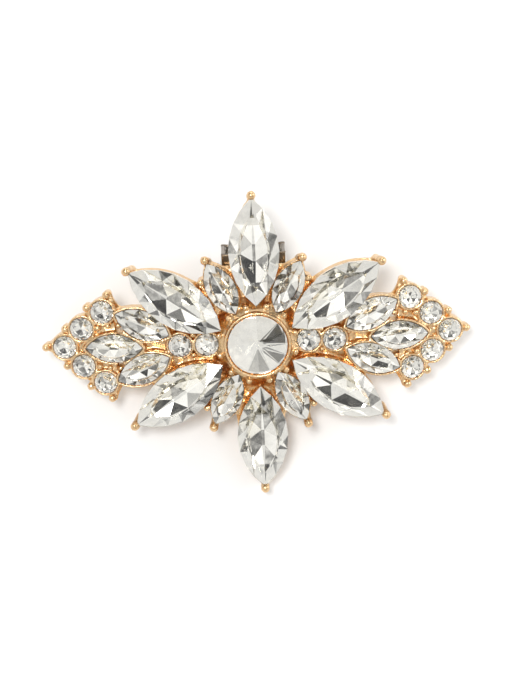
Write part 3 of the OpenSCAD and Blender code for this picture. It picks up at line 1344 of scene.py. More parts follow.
@dataclass
class Casting(Piece):
    """The cast setting: leaves, cups, rims, prongs and a raked back."""

    layout: Layout
    stones: Stones
    block: tuple = ((-29.6, -20.9, -3.6), (29.6, 20.9, 4.9))
    pitch: float = 0.15
    far: float = 9.0
    web_t: float = 1.09
    web_inset: float = 0.23
    web_margin: Span = (0.7, 0.55)
    web_round: float = 0.3
    slab_round: float = 0.1
    leaf_fillet: float = 0.7
    groove: float = 0.12
    hub_r: float = 4.5
    wing_x: Span = (9.0, 18.3)
    wing_half_w: float = 5.2
    end_y: float = 4.4
    foot_z: float = 0.545
    petal_cup: Cup = Cup(0.0, (0.3, 0.3), 0.95)
    seat_z: Span = (-0.8, 0.3)
    pad_place: Span = (3.7, 5.9)
    pad_r: float = 3.45
    seat_half_w: float = 4.1
    seat_y: Span = (2.4, 10.6)
    seat_round: float = 0.25
    seat_fillet: float = 0.3
    seat_reach: tuple = ((-7.6, 1.9, -1.5), (7.6, 12.9, 1.2))
    edge_round: float = 1.1
    edge_rise: float = 0.5
    pillow: float = 0.3
    pillow_run: float = 3.2
    rim_bead_r: float = 0.55
    rake: float = 0.13
    rake_waves: tuple = ((26, 1, 4.0), (52, 2, 9.0), (104, 3, 19.0), (208, 4, 40.0))
    rake_run: float = 4.5
    rake_spread: float = 0.6
    clump_w: float = 1.7
    quiet_w: float = 0.5
    front_grain: float = 0.16
    front_grain_w: float = 0.8
    end_fill: float = 0.75
    end_fill_x: float = 18.0
    end_fill_run: float = 1.5
    hub_fill: float = 1.95
    hub_fill_r: float = 6.6
    hub_fill_run: float = 1.7
    prong_out: Span = (0.0, 0.25)
    prong_foot: Span = (-0.25, 0.45)
    prong_bead: Span = (0.3, 0.1)
    prong_radii: Span = (0.6, 0.52)
    prong_fillet: float = 0.3
    claw: Post = Post((0.6, 2.9), (0.5, 0.34), 0.3, (-0.4, 3.8))
    rim_post: Post = Post((0.4, 1.9), (0.52, 0.42), 0.25, (-0.4, 3.0))
    around: Span = (-1.2, 1.2)
    stone_gap: float = 0.04
    stone_round: float = 0.08
    hole: Span = (18.6, 2.75)
    hole_r: float = 0.55
    hole_stretch: float = 1.3
    hole_round: float = 0.25
    hole_reach: tuple = ((-1.2, 1.2), (-1.4, 1.4), (-1.0, 4.0))
    back_edge: Span = (0.75, 0.3)
    crowd_reach: int = 5
    triangles: int = 190000
    fillet: float = 0.35
    melt: Melt = field(init=False)

    def leaves(self) -> list[list[Span]]:
        """The convex outlines that the web is made of.

        Returns:
            The outlines.
        """
        hub = [tuple(self.hub_r * c for c in arc(turn)) for turn in range(0, 360, 45)]
        out = []
        for kind, places, length, width in (
            (self.stones.large, self.layout.large(), -2 * self.web_inset, -3 * self.web_inset),
            (self.stones.small, self.layout.small(), *self.web_margin),
        ):
            ring = Ring(1 + length / kind.length, 1 + width / kind.width, 0, 24)
            for place in places:
                turn = Matrix.Rotation(math.radians(place.turn), 2)
                tips = [turn @ Vector(corner) for _, *corner in kind.corners(ring)]
                out.append(convex(hub + [(p.x + place.x, p.y + place.y) for p in tips]))
        cx, cy = self.layout.end_beads[0]
        wing = [(x, self.wing_half_w) for x in self.wing_x]
        end = [(cx + 0.4, cy), (cx - 0.6, cy - 0.3), (self.wing_x[1] - 0.2, self.end_y)]
        for s, tip_x in zip(SIDES, self.layout.end_tips):
            for row in (wing, [*end, (abs(tip_x) + 0.1, 0.4)]):
                out.append(convex([(s * x, t * y) for x, y in row for t in SIDES]))
        return out

    def raked(self, x: Field, y: Field) -> Field:
        """The marks on the back, which run out from the middle.

        Args:
            x: Places one way.
            y: Places the other way.

        Returns:
            Their heights.
        """
        out = np.hypot(x, y)
        turn = np.arctan2(y, x) / (2 * math.pi) + 0.5
        rake = np.zeros(out.shape)
        for lines, seed, most in self.rake_waves:
            drift = 3 * Grain(seed + 9).at(turn * 9, out / 6)
            wave = Grain(seed).at(turn * lines * 2, out / self.rake_run + drift)
            rake += wave * np.exp(-((np.log(out + 0.5) - math.log(most)) / self.rake_spread) ** 2)
        clumps = Grain(21).at(x / self.clump_w + 40, y / self.clump_w + 40)
        return self.rake * rake * (0.75 + 0.5 * clumps)

    def web(self, x: Field, y: Field) -> tuple[Field, Field, Field]:
        """The web's outline and its two faces over the plane.

        Args:
            x: Places one way.
            y: Places the other way.

        Returns:
            The outline's distance, the back's height and the front's height.
        """
        out = np.hypot(x, y)
        edge = np.full(out.shape, self.far)
        back = np.full(out.shape, self.far)
        for corners in self.leaves():
            d = polygon(x, y, corners)
            edge = smooth_least(edge, d, self.leaf_fillet)
            lift = self.edge_rise * (1 - np.clip(-d / self.edge_round, 0, 1)) ** 2
            pillow = self.pillow * (1 - np.clip(-d / self.pillow_run, 0, 1)) ** 1.5
            back = smooth_least(back, lift + pillow, self.groove)
        for place in self.layout.rim_beads():
            edge = smooth_least(edge, np.hypot(x - place.x, y - place.y) - self.rim_bead_r, self.fillet)
        fall = dome_fall(out)
        quiet = np.clip(-edge / self.quiet_w, 0, 1)
        front = self.front_grain * Grain(31).at(x / self.front_grain_w + 80, y / self.front_grain_w + 80)
        front = front + self.end_fill * np.clip((np.abs(x) - self.end_fill_x) / self.end_fill_run, 0, 1)
        front = front + self.hub_fill * np.clip((self.hub_fill_r - out) / self.hub_fill_run, 0, 1)
        return edge, fall + back + self.raked(x, y) * quiet, fall + self.web_t + front

    def seat(self, x: Field, y: Field, z: Field) -> Field:
        """Distance to the flat boss that the clip is fixed to.

        Args:
            x: Places along the clip.
            y: Places across it.
            z: Heights.

        Returns:
            The distance.
        """
        flat = np.maximum(np.abs(x) - self.seat_half_w, within(y, *self.seat_y))
        pad = np.hypot(np.abs(x) - self.pad_place[0], y - self.pad_place[1]) - self.pad_r
        return smooth_most(np.minimum(flat, pad), within(z, *self.seat_z), self.seat_round)

    def prongs(self) -> list[Prong]:
        """The prongs at the navettes' outer tips.

        Returns:
            The prongs of the large navettes, then those of the petals.
        """
        rows = []
        kinds = ((self.stones.large, self.layout.large()), (self.stones.small, self.layout.petals()))
        for (kind, places), out in zip(kinds, self.prong_out):
            tip = kind.length / 2 + out
            foot = Vector((tip + self.prong_foot[0], 0, self.prong_foot[1]))
            bead = Vector((tip + self.prong_bead[0], 0, kind.girdle_z + self.prong_bead[1]))
            rows += [Prong(place, foot, bead) for place in places]
        return rows

    def melt_cups(self, melt: Melt) -> None:
        """Melts the stones' cups in.

        Args:
            melt: The block.
        """
        petals = self.layout.petals()
        for _, kind, place in self.stones.settings():
            cup = self.petal_cup if place in petals else kind.cup
            half = [size / 2 + 1.2 for size in (kind.length, kind.width)]
            reach = (*((-h, h) for h in half), (-0.3, kind.girdle_z + cup.rise + 0.6))
            melt.placed(place, partial(kind.cup_wall, cup=cup, foot=self.foot_z), reach, self.fillet)

    def melt_bars(self, melt: Melt) -> None:
        """Melts the prongs and the posts of claws and rims in.

        Args:
            melt: The block.
        """
        low, high = self.around
        for prong in self.prongs():
            foot, bead = prong.foot, prong.bead
            reach = ((foot.x + low, bead.x + high), self.around, (foot.z + low, bead.z + high))
            melt.placed(prong.place, bar(foot, bead, self.prong_radii), reach, self.prong_fillet)
        for post, places in ((self.claw, self.layout.ring_claws()), (self.rim_post, self.layout.rim_beads())):
            shape = bar(*(z * UP for z in post.z), post.radii)
            for place in places:
                melt.placed(place, shape, (self.around, self.around, post.reach), post.fillet)

    def cut_seats(self, melt: Melt) -> None:
        """Cuts the stones' seats and the four holes.

        Args:
            melt: The block.
        """
        for _, kind, place in self.stones.settings():
            half = [size / 2 + 0.6 for size in (kind.length, kind.width)]
            reach = (*((-h, h) for h in half), (0.2, kind.girdle_z + kind.half_girdle + kind.crown + 0.5))
            melt.placed(place, partial(kind.seat, gap=self.stone_gap), reach, self.stone_round, cut=True)
        for x, y in quartered(self.hole):
            melt.placed(Setting(x, y), self.bore, self.hole_reach, self.hole_round, cut=True)

    def bore(self, x: Field, y: Field, z: Field) -> Field:
        """Distance to a hole through the web."""
        return np.hypot(x, y / self.hole_stretch) - self.hole_r + 0 * z

    def melted(self) -> Melt:
        """Melts the casting together and cuts the seats.

        Returns:
            The block.
        """
        melt = Melt(*self.block, self.pitch)
        spans, (x, y, z) = melt.window()
        edge, back, front = self.web(x[:, :, 0], y[:, :, 0])
        slab = smooth_most(back[:, :, None] - z, z - front[:, :, None], self.slab_round)
        melt.values[spans] = smooth_most(slab, edge[:, :, None], self.web_round)
        melt.add(self.seat, self.seat_fillet, self.seat_reach)
        self.melt_cups(melt)
        self.melt_bars(melt)
        self.cut_seats(melt)
        return melt

    def shade(self, mesh: Mesh) -> None:
        """Writes how hollow the metal is, which the plating turns into painted shade and painted crest light,
        and where it is the back, for the plating.

        Args:
            mesh: The casting, in the clip's own frame.
        """
        points = places_of(mesh.vertices, "co")
        # How enclosed each point is, read by the plating as painted recess shade.
        written(mesh, "painted_recess_shade", self.melt.read(self.melt.crowding(self.crowd_reach), points))
        low = dome_fall(np.hypot(points[:, 0], points[:, 1]))
        depth, run = self.back_edge
        written(mesh, "back", np.clip((low + depth - points[:, 2]) / run, 0, 1))

    def build(self) -> None:
        """Builds and dresses the casting."""
        self.melt = self.melted()
        obj = thinned(self.melt.mesh("cast_setting"), self.triangles)
        self.shade(obj.data)
        self.hand_over(obj, CLIP_BODY, Slot.GOLD, "casting", dress=[self.palette.gold])


class BeadTree:
    """Geometry nodes that set a cast bead on each point of a mesh."""

    INPUTS = (
        ("Neck", "NodeSocketFloat", 1.0),
        ("Wobble", "NodeSocketFloat", 0.05),
        ("Grain", "NodeSocketFloat", 1.6),
        ("Segments", "NodeSocketInt", 14),
        ("Material", "NodeSocketMaterial", None),
    )
    RINGS = 9
    NECK_TOP = 0.8
    NECK_STEPS = 3

    def __init__(self) -> None:
        """Builds the tree, with named inputs for its sizes."""
        self.tree = bpy.data.node_groups.new("cast_beads", "GeometryNodeTree")
        face = self.tree.interface
        face.new_socket("Geometry", in_out="INPUT", socket_type="NodeSocketGeometry")
        self.sockets = {}
        for name, kind, value in self.INPUTS:
            socket = face.new_socket(name, in_out="INPUT", socket_type=kind)
            if value is not None:
                socket.default_value = value
            self.sockets[name] = socket.identifier
        face.new_socket("Geometry", in_out="OUTPUT", socket_type="NodeSocketGeometry")
        self.fill()

    def fill(self) -> None:
        """Adds the nodes: a bead on a neck at every point, realised, roughened and dressed."""
        t = NodeTree(self.tree)
        given = t.add("NodeGroupInput").outputs
        sides = given["Segments"]
        ball = t.out("GeometryNodeMeshUVSphere", {"Segments": sides, "Rings": self.RINGS, "Radius": 1.0})
        ends = {"Radius Top": self.NECK_TOP, "Radius Bottom": 1.0, "Side Segments": self.NECK_STEPS}
        neck = t.out("GeometryNodeMeshCone", {"Vertices": sides, "Depth": given["Neck"], **ends})
        down = t.out("ShaderNodeCombineXYZ", {"Z": t.times(given["Neck"], -1.0)})
        sunk = t.out("GeometryNodeTransform", {"Geometry": neck, "Translation": down})
        both = t.add("GeometryNodeJoinGeometry")
        for part in (ball, sunk):
            self.tree.links.new(part, both.inputs[0])
        axis, size = [
            t.out("GeometryNodeInputNamedAttribute", {"Name": name}, "Attribute", data_type="FLOAT_VECTOR")
            for name in ("axis", "size")
        ]
        way = t.out("FunctionNodeAlignRotationToVector", {"Vector": axis}, axis="Z")
        points = t.out("GeometryNodeMeshToPoints", {"Mesh": given["Geometry"], "Radius": 0.1})
        stand = {"Points": points, "Instance": both.outputs[0], "Rotation": way, "Scale": size}
        beads = t.out("GeometryNodeInstanceOnPoints", stand)
        real = t.out("GeometryNodeRealizeInstances", {"Geometry": beads})
        grain = {"Vector": t.out("GeometryNodeInputPosition"), "Scale": given["Grain"], "Detail": 1.0}
        noise = t.out("ShaderNodeTexNoise", grain, "Color")
        centred = t.out("ShaderNodeVectorMath", {0: noise, 1: (0.5, 0.5, 0.5)}, operation="SUBTRACT")
        push = t.out("ShaderNodeVectorMath", {0: centred, "Scale": given["Wobble"]}, operation="SCALE")
        rough = t.out("GeometryNodeSetPosition", {"Geometry": real, "Offset": push})
        smooth = t.out("GeometryNodeSetShadeSmooth", {"Geometry": rough})
        dressed = t.out("GeometryNodeSetMaterial", {"Geometry": smooth, "Material": given["Material"]})
        t.add("NodeGroupOutput", {"Geometry": dressed})

    def grown(self, name: str, rows: Sequence[tuple], flatness: float, **inputs: object) -> Object:
        """Sets beads on points.

        Args:
            name: The piece's name.
            rows: Each bead's place, the way its neck rises and its radius.
            flatness: Its height as a share of its width.
            **inputs: The tree's inputs by name.

        Returns:
            A plain mesh object in the clip's own frame.
        """
        mesh = bpy.data.meshes.new(name)
        mesh.from_pydata([tuple(p) for p, _, _ in rows], [], [])
        axes = [v for _, axis, _ in rows for v in axis]
        sizes = [v for _, _, r in rows for v in (r, r, flatness * r)]
        for label, values in (("axis", axes), ("size", sizes)):
            mesh.attributes.new(label, "FLOAT_VECTOR", "POINT").data.foreach_set("vector", values)
        obj = linked(mesh)
        grow = obj.modifiers.new("beads", "NODES")
        grow.node_group = self.tree
        for label, value in inputs.items():
            grow[self.sockets[label]] = value
        return evaluated(obj)


@dataclass
class BeadWork(Piece):
    """The beads on the prongs, round the centre ring, along the ends and in the fills."""

    casting: Casting
    tree: BeadTree
    prong_r: float = 0.62
    claw_r: float = 0.46
    rim_bead_r: float = 0.55
    claw_z: float = 2.95
    rim_bead_z: float = 2.0
    fill_bead_z: float = 2.0
    necks: Span = (1.0, 3.0)
    flatness: float = 0.95
    wobble: float = 0.16
    # The beads' fixed place on the plating's painted shade ramp, between the mid tone and the recess shade.
    painted_recess_shade: float = 0.58

    def rows(self) -> Iterator[tuple[str, float, list[tuple]]]:
        """The four sets of beads.

        Yields:
            A set's name, its necks' length and rows of place, rise and radius.
        """
        layout = self.casting.layout
        short, long = self.necks
        yield "prong_beads", short, [
            (p.place.matrix() @ p.bead, p.place.way((p.bead - p.foot).normalized()), self.prong_r)
            for p in self.casting.prongs()
        ]
        fills = quartered(*layout.fill_beads)
        for name, neck, z, beads in (
            ("ring_claws", short, self.claw_z, [(p, self.claw_r) for p in layout.ring_claws()]),
            ("rim_beads", short, self.rim_bead_z, [(p, self.rim_bead_r) for p in layout.rim_beads()]),
            ("fill_beads", long, self.fill_bead_z, [(Setting(x, y), r) for x, y, r in fills]),
        ):
            yield name, neck, [(p.matrix() @ (z * UP), p.way(UP), r) for p, r in beads]

    def build(self) -> None:
        """Builds and dresses the beads, which are crests on the front."""
        gold = self.palette.gold
        for name, neck, rows in self.rows():
            obj = self.tree.grown(name, rows, self.flatness, Material=gold, Wobble=self.wobble, Neck=neck)
            # Each bead takes one fixed value of the painted shade, and none of the back.
            for label, value in (("painted_recess_shade", self.painted_recess_shade), ("back", 0.0)):
                written(obj.data, label, np.full(len(obj.data.vertices), value))
            self.hand_over(obj, CLIP_BODY, Slot.GOLD)


# The clip


@dataclass
class ClipSizes:
    """Sizes that the clip's pieces share."""

    sheet_t: float = 0.6
    clip_h: float = 6.6
    seat_z: float = -0.8
    glue_t: float = 0.05
    bed_depth: float = 0.1
    pin_r: float = 0.6
    pin_run: float = 0.05
    pin_hold: float = 0.02
    knuckle_t: float = 0.65
    hinge_y: float = 9.4
    lever_half_w: float = 3.6
    neck_half_w: float = 1.8
    wall_gap: float = 0.3
    wall_t: float = 0.5
    bore_round: float = 0.05

    @property
    def outside_z(self) -> float:
        """The lever's outer face."""
        return self.seat_z - self.clip_h

    @property
    def knuckle_r(self) -> float:
        """The knuckle's radius."""
        return self.pin_r + self.pin_run + self.knuckle_t

    @property
    def hinge_z(self) -> float:
        """The hinge's height."""
        return self.outside_z + self.knuckle_r

    @property
    def plate_top(self) -> float:
        """The bracket's face on the casting's side."""
        return self.seat_z - self.glue_t

    @property
    def plate_low(self) -> float:
        """The bracket plate's other face."""
        return self.plate_top - self.sheet_t

    @property
    def wall_in(self) -> float:
        """The walls' inner faces."""
        return self.lever_half_w + self.wall_gap

    @property
    def wall_out(self) -> float:
        """The walls' outer faces."""
        return self.wall_in + self.wall_t

    def hinge(self) -> Vector:
        """The hinge's place."""
        return Vector((0, self.hinge_y, self.hinge_z))

    def bore(self, run: float) -> Shape:
        """A hole along the hinge, with so much room round the pin."""
        return lambda x, y, z: np.hypot(y - self.hinge_y, z - self.hinge_z) - self.pin_r - run + 0 * x


@dataclass
class ClipPiece(Piece):
    """A piece of the clip, with the sizes that it shares with the others."""

    sizes: ClipSizes

    def pressed(self, name: str, block: Melt, shapes: Sequence[tuple[Shape, float]], run: float,
                triangles: int) -> Object:
        """Melts shapes together and bores them along the hinge.

        Args:
            name: The piece's name.
            block: An empty block.
            shapes: The shapes, each with its fillet.
            run: The bore's room round the pin.
            triangles: The most that it may have.

        Returns:
            The piece.
        """
        for shape, fillet in shapes:
            block.add(shape, fillet)
        block.cut(self.sizes.bore(run), self.sizes.bore_round)
        return thinned(block.mesh(name), triangles)


@dataclass
class Bracket(ClipPiece):
    """The pressed bracket: a plate with domed pads, two walls and folded caps."""

    pitch: float = 0.08
    half_x: float = 7.2
    span_y: Span = (2.4, 12.3)
    room: float = 0.4
    plate_y: float = 2.8
    wall_y: Span = (7.2, 11.9)
    cap_y: float = 9.85
    cap_gap: float = 0.25
    pad_place: Span = (3.7, 5.9)
    pad_r: float = 3.1
    dome_place: Span = (5.05, 5.45)
    dome_r: float = 1.55
    dome_rise: float = 1.1
    slant: float = 38.0
    slant_cut: float = 4.6
    slant_size: float = 4.0
    triangles: int = 60000

    def plate(self, x: Field, y: Field, z: Field) -> Field:
        """Distance to the plate with its two pads.

        Args:
            x: Places along the clip.
            y: Places across it.
            z: Heights.

        Returns:
            The distance.
        """
        s = self.sizes
        flat = np.maximum(np.abs(x) - s.wall_out, within(y, self.plate_y, self.wall_y[1]))
        pad = np.hypot(np.abs(x) - self.pad_place[0], y - self.pad_place[1]) - self.pad_r
        return smooth_most(smooth_least(flat, pad, 0.4), within(z, s.plate_low, s.plate_top), 0.2)

    def domes(self, x: Field, y: Field, z: Field) -> Field:
        """Distance to the domes pressed out of the pads.

        Args:
            x: Places along the clip.
            y: Places across it.
            z: Heights.

        Returns:
            The distance.
        """
        ball = (self.dome_r ** 2 + self.dome_rise ** 2) / (2 * self.dome_rise)
        middle = (*self.dome_place, self.sizes.plate_low + ball - self.dome_rise)
        gap = np.sqrt(sum((p - c) ** 2 for p, c in zip((np.abs(x), y, z), middle)))
        return np.maximum(gap - ball, z - self.sizes.plate_low - 0.2)

    def walls(self, x: Field, y: Field, z: Field) -> Field:
        """Distance to the two walls with their folded caps, whose lower corners are cut on a slant.

        Args:
            x: Places along the clip.
            y: Places across it.
            z: Heights.

        Returns:
            The distance.
        """
        s = self.sizes
        across = np.abs(np.abs(x) - (s.wall_in + s.wall_out) / 2) - s.wall_t / 2
        side = smooth_most(within(y, *self.wall_y), within(z, s.outside_z, s.plate_low), 0.3)
        cap = within(np.abs(x), s.neck_half_w + self.cap_gap, s.wall_out)
        cap = smooth_most(cap, within(y, self.cap_y, self.wall_y[1]), 0.25)
        cap = smooth_most(cap, np.maximum(s.outside_z - z, z - s.outside_z - s.sheet_t), 0.15)
        both = smooth_least(smooth_most(across, side, 0.12), cap, 0.3)
        c, d = arc(self.slant)
        dy, dz = y - self.wall_y[0], z - s.outside_z
        corner = np.maximum(dy * c + dz * d - (self.slant_cut - self.slant_size),
                            np.abs(dz * c - dy * d) - self.slant_size)
        return smooth_most(both, -corner, 0.15)

    def painted_shade(self, mesh: Mesh) -> None:
        """Writes where painted shade darkens the plating: on the face towards the casting and on the far
        edges.

        Args:
            mesh: The bracket, in the clip's own frame.
        """
        points = places_of(mesh.vertices, "co")
        # Painted shade on the face towards the casting and on the far edges.
        above = np.clip((points[:, 2] - self.sizes.plate_top + 0.25) / 0.15, 0, 1)
        behind = np.clip((points[:, 1] - self.wall_y[1] + 0.2) / 0.15, 0, 1)
        written(mesh, "painted_shade", np.maximum(above, behind))

    def build(self) -> None:
        """Builds and dresses the bracket."""
        s = self.sizes
        low = (-self.half_x, self.span_y[0], s.outside_z - self.room)
        block = Melt(low, (self.half_x, self.span_y[1], s.plate_top + self.room), self.pitch)
        shapes = ((self.plate, 0), (self.domes, 0.3), (self.walls, 0.35))
        obj = self.pressed("pressed_bracket", block, shapes, s.pin_hold, self.triangles)
        self.painted_shade(obj.data)
        self.hand_over(obj, CLIP_BODY, Slot.NICKEL, "clip_bracket", dress=[self.palette.nickel])


@dataclass
class Lever(ClipPiece):
    """The flap: knuckle, neck, shoulders, bend, grip, lip and two punched teeth."""

    pitch: float = 0.075
    bend: float = 41.0
    flat_end_y: float = 3.6
    bend_len: float = 2.2
    bend_steps: int = 12
    grip_len: float = 5.3
    lip_len: float = 1.1
    lip_steps: int = 6
    lip_turn: float = 30.0
    lip_end: float = 0.5
    end_r: float = 2.95
    shoulder: float = 0.9
    shoulder_drop: Span = (2.1, 2.9)
    neck_len: float = 3.2
    tooth_x: float = 1.45
    tooth_y: float = 0.7
    tooth_r: float = 0.75
    tooth_len: float = 2.3
    tooth_t: float = 0.4
    tooth_rise: float = 1.4
    tooth_lean: float = 25.0
    tooth_sink: float = 0.85
    tooth_foot: float = 0.1
    rim_lift: float = 0.16
    rim_out: float = 0.12
    rim_w: float = 0.2
    triangles: int = 70000

    def walk(self) -> list[Span]:
        """The middle line from the hinge to the tip.

        Returns:
            Places in y and z.
        """
        s = self.sizes
        steps = [(s.hinge_y - self.flat_end_y, 0.0)]
        steps += [(self.bend_len / self.bend_steps, self.bend / self.bend_steps)] * self.bend_steps
        steps += [(self.grip_len, 0.0)]
        steps += [(self.lip_len / self.lip_steps, -self.lip_turn / self.lip_steps)] * self.lip_steps
        y, z, way = s.hinge_y, s.outside_z + s.sheet_t / 2, 0.0
        out = [(y, z)]
        for run, turn in [*steps, (self.lip_end, 0.0)]:
            way += turn
            y -= run * arc(way)[0]
            z += run * arc(way)[1]
            out.append((y, z))
        return out

    def sheet(self, y: Field, z: Field) -> Field:
        """Distance to the bent sheet in its side view.

        Args:
            y: Places across the clip.
            z: Heights.

        Returns:
            The distance.
        """
        line = self.walk()
        gaps = []
        for (ay, az), (by, bz) in zip(line, line[1:]):
            run = math.hypot(by - ay, bz - az)
            t = np.clip(((y - ay) * (by - ay) + (z - az) * (bz - az)) / run ** 2, 0, 1)
            gaps.append(np.hypot(y - ay - t * (by - ay), z - az - t * (bz - az)))
        return np.minimum.reduce(gaps) - self.sizes.sheet_t / 2

    def plan(self, x: Field, y: Field) -> Field:
        """Distance to the outline seen from behind.

        Args:
            x: Places along the clip.
            y: Places across it.

        Returns:
            The distance.
        """
        s = self.sizes
        end_y = self.walk()[-1][0] + self.end_r
        high, low = [s.hinge_y - drop for drop in self.shoulder_drop]
        side = [(self.end_r, end_y), (s.lever_half_w, low), (s.lever_half_w - self.shoulder, high)]
        body = polygon(x, y, side + [(-cx, cy) for cx, cy in side[::-1]])
        end = np.hypot(x, y - end_y) - self.end_r
        neck = np.maximum(np.abs(x) - s.neck_half_w, within(y, s.hinge_y - self.neck_len, s.hinge_y))
        return smooth_least(np.minimum(body, end), neck, 0.5)

    def holes(self, x: Field, y: Field) -> Field:
        """Distance to the teardrop holes that the teeth leave, over the plan.

        Args:
            x: Places along the clip.
            y: Places across it.

        Returns:
            The distance.
        """
        across, up = np.abs(x) - self.tooth_x, y - self.tooth_y
        point = self.tooth_len - self.tooth_r
        half = math.asin(self.tooth_r / point)
        side = np.abs(across) * math.cos(half) + (up - point) * math.sin(half)
        foot = np.hypot(across, up) - self.tooth_r
        return np.where(up > self.tooth_r * math.sin(half), np.maximum(side, -up), foot)

    def teeth(self, x: Field, y: Field, z: Field) -> Field:
        """Distance to the tongues cut from the holes and turned in.

        Args:
            x: Places along the clip.
            y: Places across it.
            z: Heights.

        Returns:
            The distance.
        """
        s = self.sizes
        base_y = self.tooth_y - self.tooth_r - self.tooth_foot
        climb = (self.flat_end_y - base_y) * math.tan(math.radians(self.bend))
        dy, dz = y - base_y, z - (s.outside_z + s.sheet_t + climb - self.tooth_sink)
        c, d = arc(90 - self.bend + self.tooth_lean)
        up, through = dy * c + dz * d, dz * c - dy * d
        slope = math.atan2(self.tooth_r, self.tooth_rise)
        across = np.abs(np.abs(x) - self.tooth_x)
        side = across * math.cos(slope) + (up - self.tooth_rise) * math.sin(slope)
        tongue = np.maximum(side, -self.tooth_foot - up)
        return smooth_most(tongue, np.abs(through) - self.tooth_t / 2, 0.1)

    def blank(self, x: Field, y: Field, z: Field) -> Field:
        """Distance to the sheet, cut to the plan, with raised rims round the holes.

        Args:
            x: Places along the clip.
            y: Places across it.
            z: Heights.

        Returns:
            The distance.
        """
        hole = self.holes(x, y)
        rim = self.rim_lift * np.exp(-((hole - self.rim_out) / self.rim_w) ** 2)
        return smooth_most(smooth_most(self.sheet(y, z) - rim, self.plan(x, y), 0.2), -hole, 0.12)

    def knuckle(self, x: Field, y: Field, z: Field) -> Field:
        """Distance to the rolled knuckle."""
        roll = np.hypot(y - self.sizes.hinge_y, z - self.sizes.hinge_z) - self.sizes.knuckle_r
        return smooth_most(roll, np.abs(x) - self.sizes.neck_half_w, 0.15)

    def build(self) -> None:
        """Builds and dresses the lever."""
        s = self.sizes
        tip_y, tip_z = self.walk()[-1]
        low = (-s.lever_half_w - 0.4, tip_y - 0.5, s.outside_z - 0.5)
        high = (s.lever_half_w + 0.4, s.hinge_y + s.knuckle_r + 0.4, tip_z + 2.4)
        shapes = ((self.blank, 0), (self.knuckle, 0.15), (self.teeth, 0.15))
        obj = self.pressed("clip_flap", Melt(low, high, self.pitch), shapes, s.pin_run, self.triangles)
        self.hand_over(obj, LEVER_BODY, Slot.NICKEL, "clip_lever", dress=[self.palette.nickel])


@dataclass
class HingePin(ClipPiece):
    """The pin, with a rounded head at each end."""

    end: float = 0.25
    segments: int = 40
    crown_steps: int = 6
    crown_turn: float = 1.45

    def build(self) -> None:
        """Builds and dresses the pin."""
        s = self.sizes
        profile = [(s.wall_out + self.end * math.sin(t), s.pin_r * math.cos(t) ** 0.5)
                   for t in np.linspace(0, self.crown_turn, self.crown_steps)]
        circle = [2 * math.pi * i / self.segments for i in range(self.segments)]
        rows = [[(x, s.hinge_y + r * math.cos(a), s.hinge_z + r * math.sin(a)) for a in circle]
                for x, r in [(-x, r) for x, r in profile[::-1]] + profile]
        obj = swept("hinge_rivet", rows)
        self.hand_over(obj, CLIP_BODY, Slot.NICKEL, "hinge_pin", dress=[self.palette.nickel])


@dataclass
class LeafSpring(ClipPiece):
    """The bent leaf between the bracket and the knuckle."""

    thickness: float = 0.35
    half_w: float = 1.4
    gap: float = 0.15
    foot_y: float = 7.6
    arm_y: float = 7.9
    bend_y: float = 10.35
    steps: int = 20
    bevel: float = 0.06
    bevel_angle: float = 50.0

    def line(self) -> list[Triple]:
        """The leaf's middle line, from its foot on the plate to its arm over the knuckle.

        Returns:
            Rows of y, z and the way that its face turns, in degrees.
        """
        s = self.sizes
        foot_z = s.plate_low + s.bed_depth - s.glue_t - self.thickness / 2
        arm_z = s.hinge_z + s.knuckle_r + self.gap + self.thickness / 2
        r = (foot_z - arm_z) / 2
        out = [(self.foot_y, foot_z, 180.0)]
        for a in (90 - 180 * i / self.steps for i in range(self.steps + 1)):
            out.append((self.bend_y + r * arc(a)[0], arm_z + r + r * arc(a)[1], 270 - a))
        return out + [(self.arm_y, arm_z, 0.0)]

    def build(self) -> None:
        """Builds and dresses the spring."""
        rows = []
        for y, z, way in self.line():
            dz, dy = (self.thickness / 2 * c for c in arc(way))
            corners = ((-1, -1), (1, -1), (1, 1), (-1, 1))
            rows.append([(side * self.half_w, y + off * dy, z + off * dz) for side, off in corners])
        obj = swept("spring_leaf", rows)
        soft = obj.modifiers.new("soft", "BEVEL")
        soft.width = self.bevel
        soft.segments = 2
        soft.angle_limit = math.radians(self.bevel_angle)
        self.hand_over(evaluated(obj), CLIP_BODY, Slot.SPRING, "leaf_spring", dress=[self.palette.spring])


# The studio


@dataclass(frozen=True)
class Card:
    """A grey card held into the light, which the stones' facets mirror."""

    way: Triple
    reach: float
    tone: float
    soft: float = 1.2


@dataclass(frozen=True)
class Lamp:
    """A round soft box that faces the clip."""

    name: str
    place: Triple
    size: float
    power: float

    def hang(self) -> None:
        """Hangs it."""
        data = bpy.data.lights.new(self.name, "AREA")
        data.shape = "DISK"
        data.size = self.size
        data.energy = self.power
        obj = bpy.data.objects.new(self.name, data)
        obj.location = self.place
        obj.rotation_euler = (-Vector(self.place)).to_track_quat("-Z", "Y").to_euler()
        bpy.context.scene.collection.objects.link(obj)


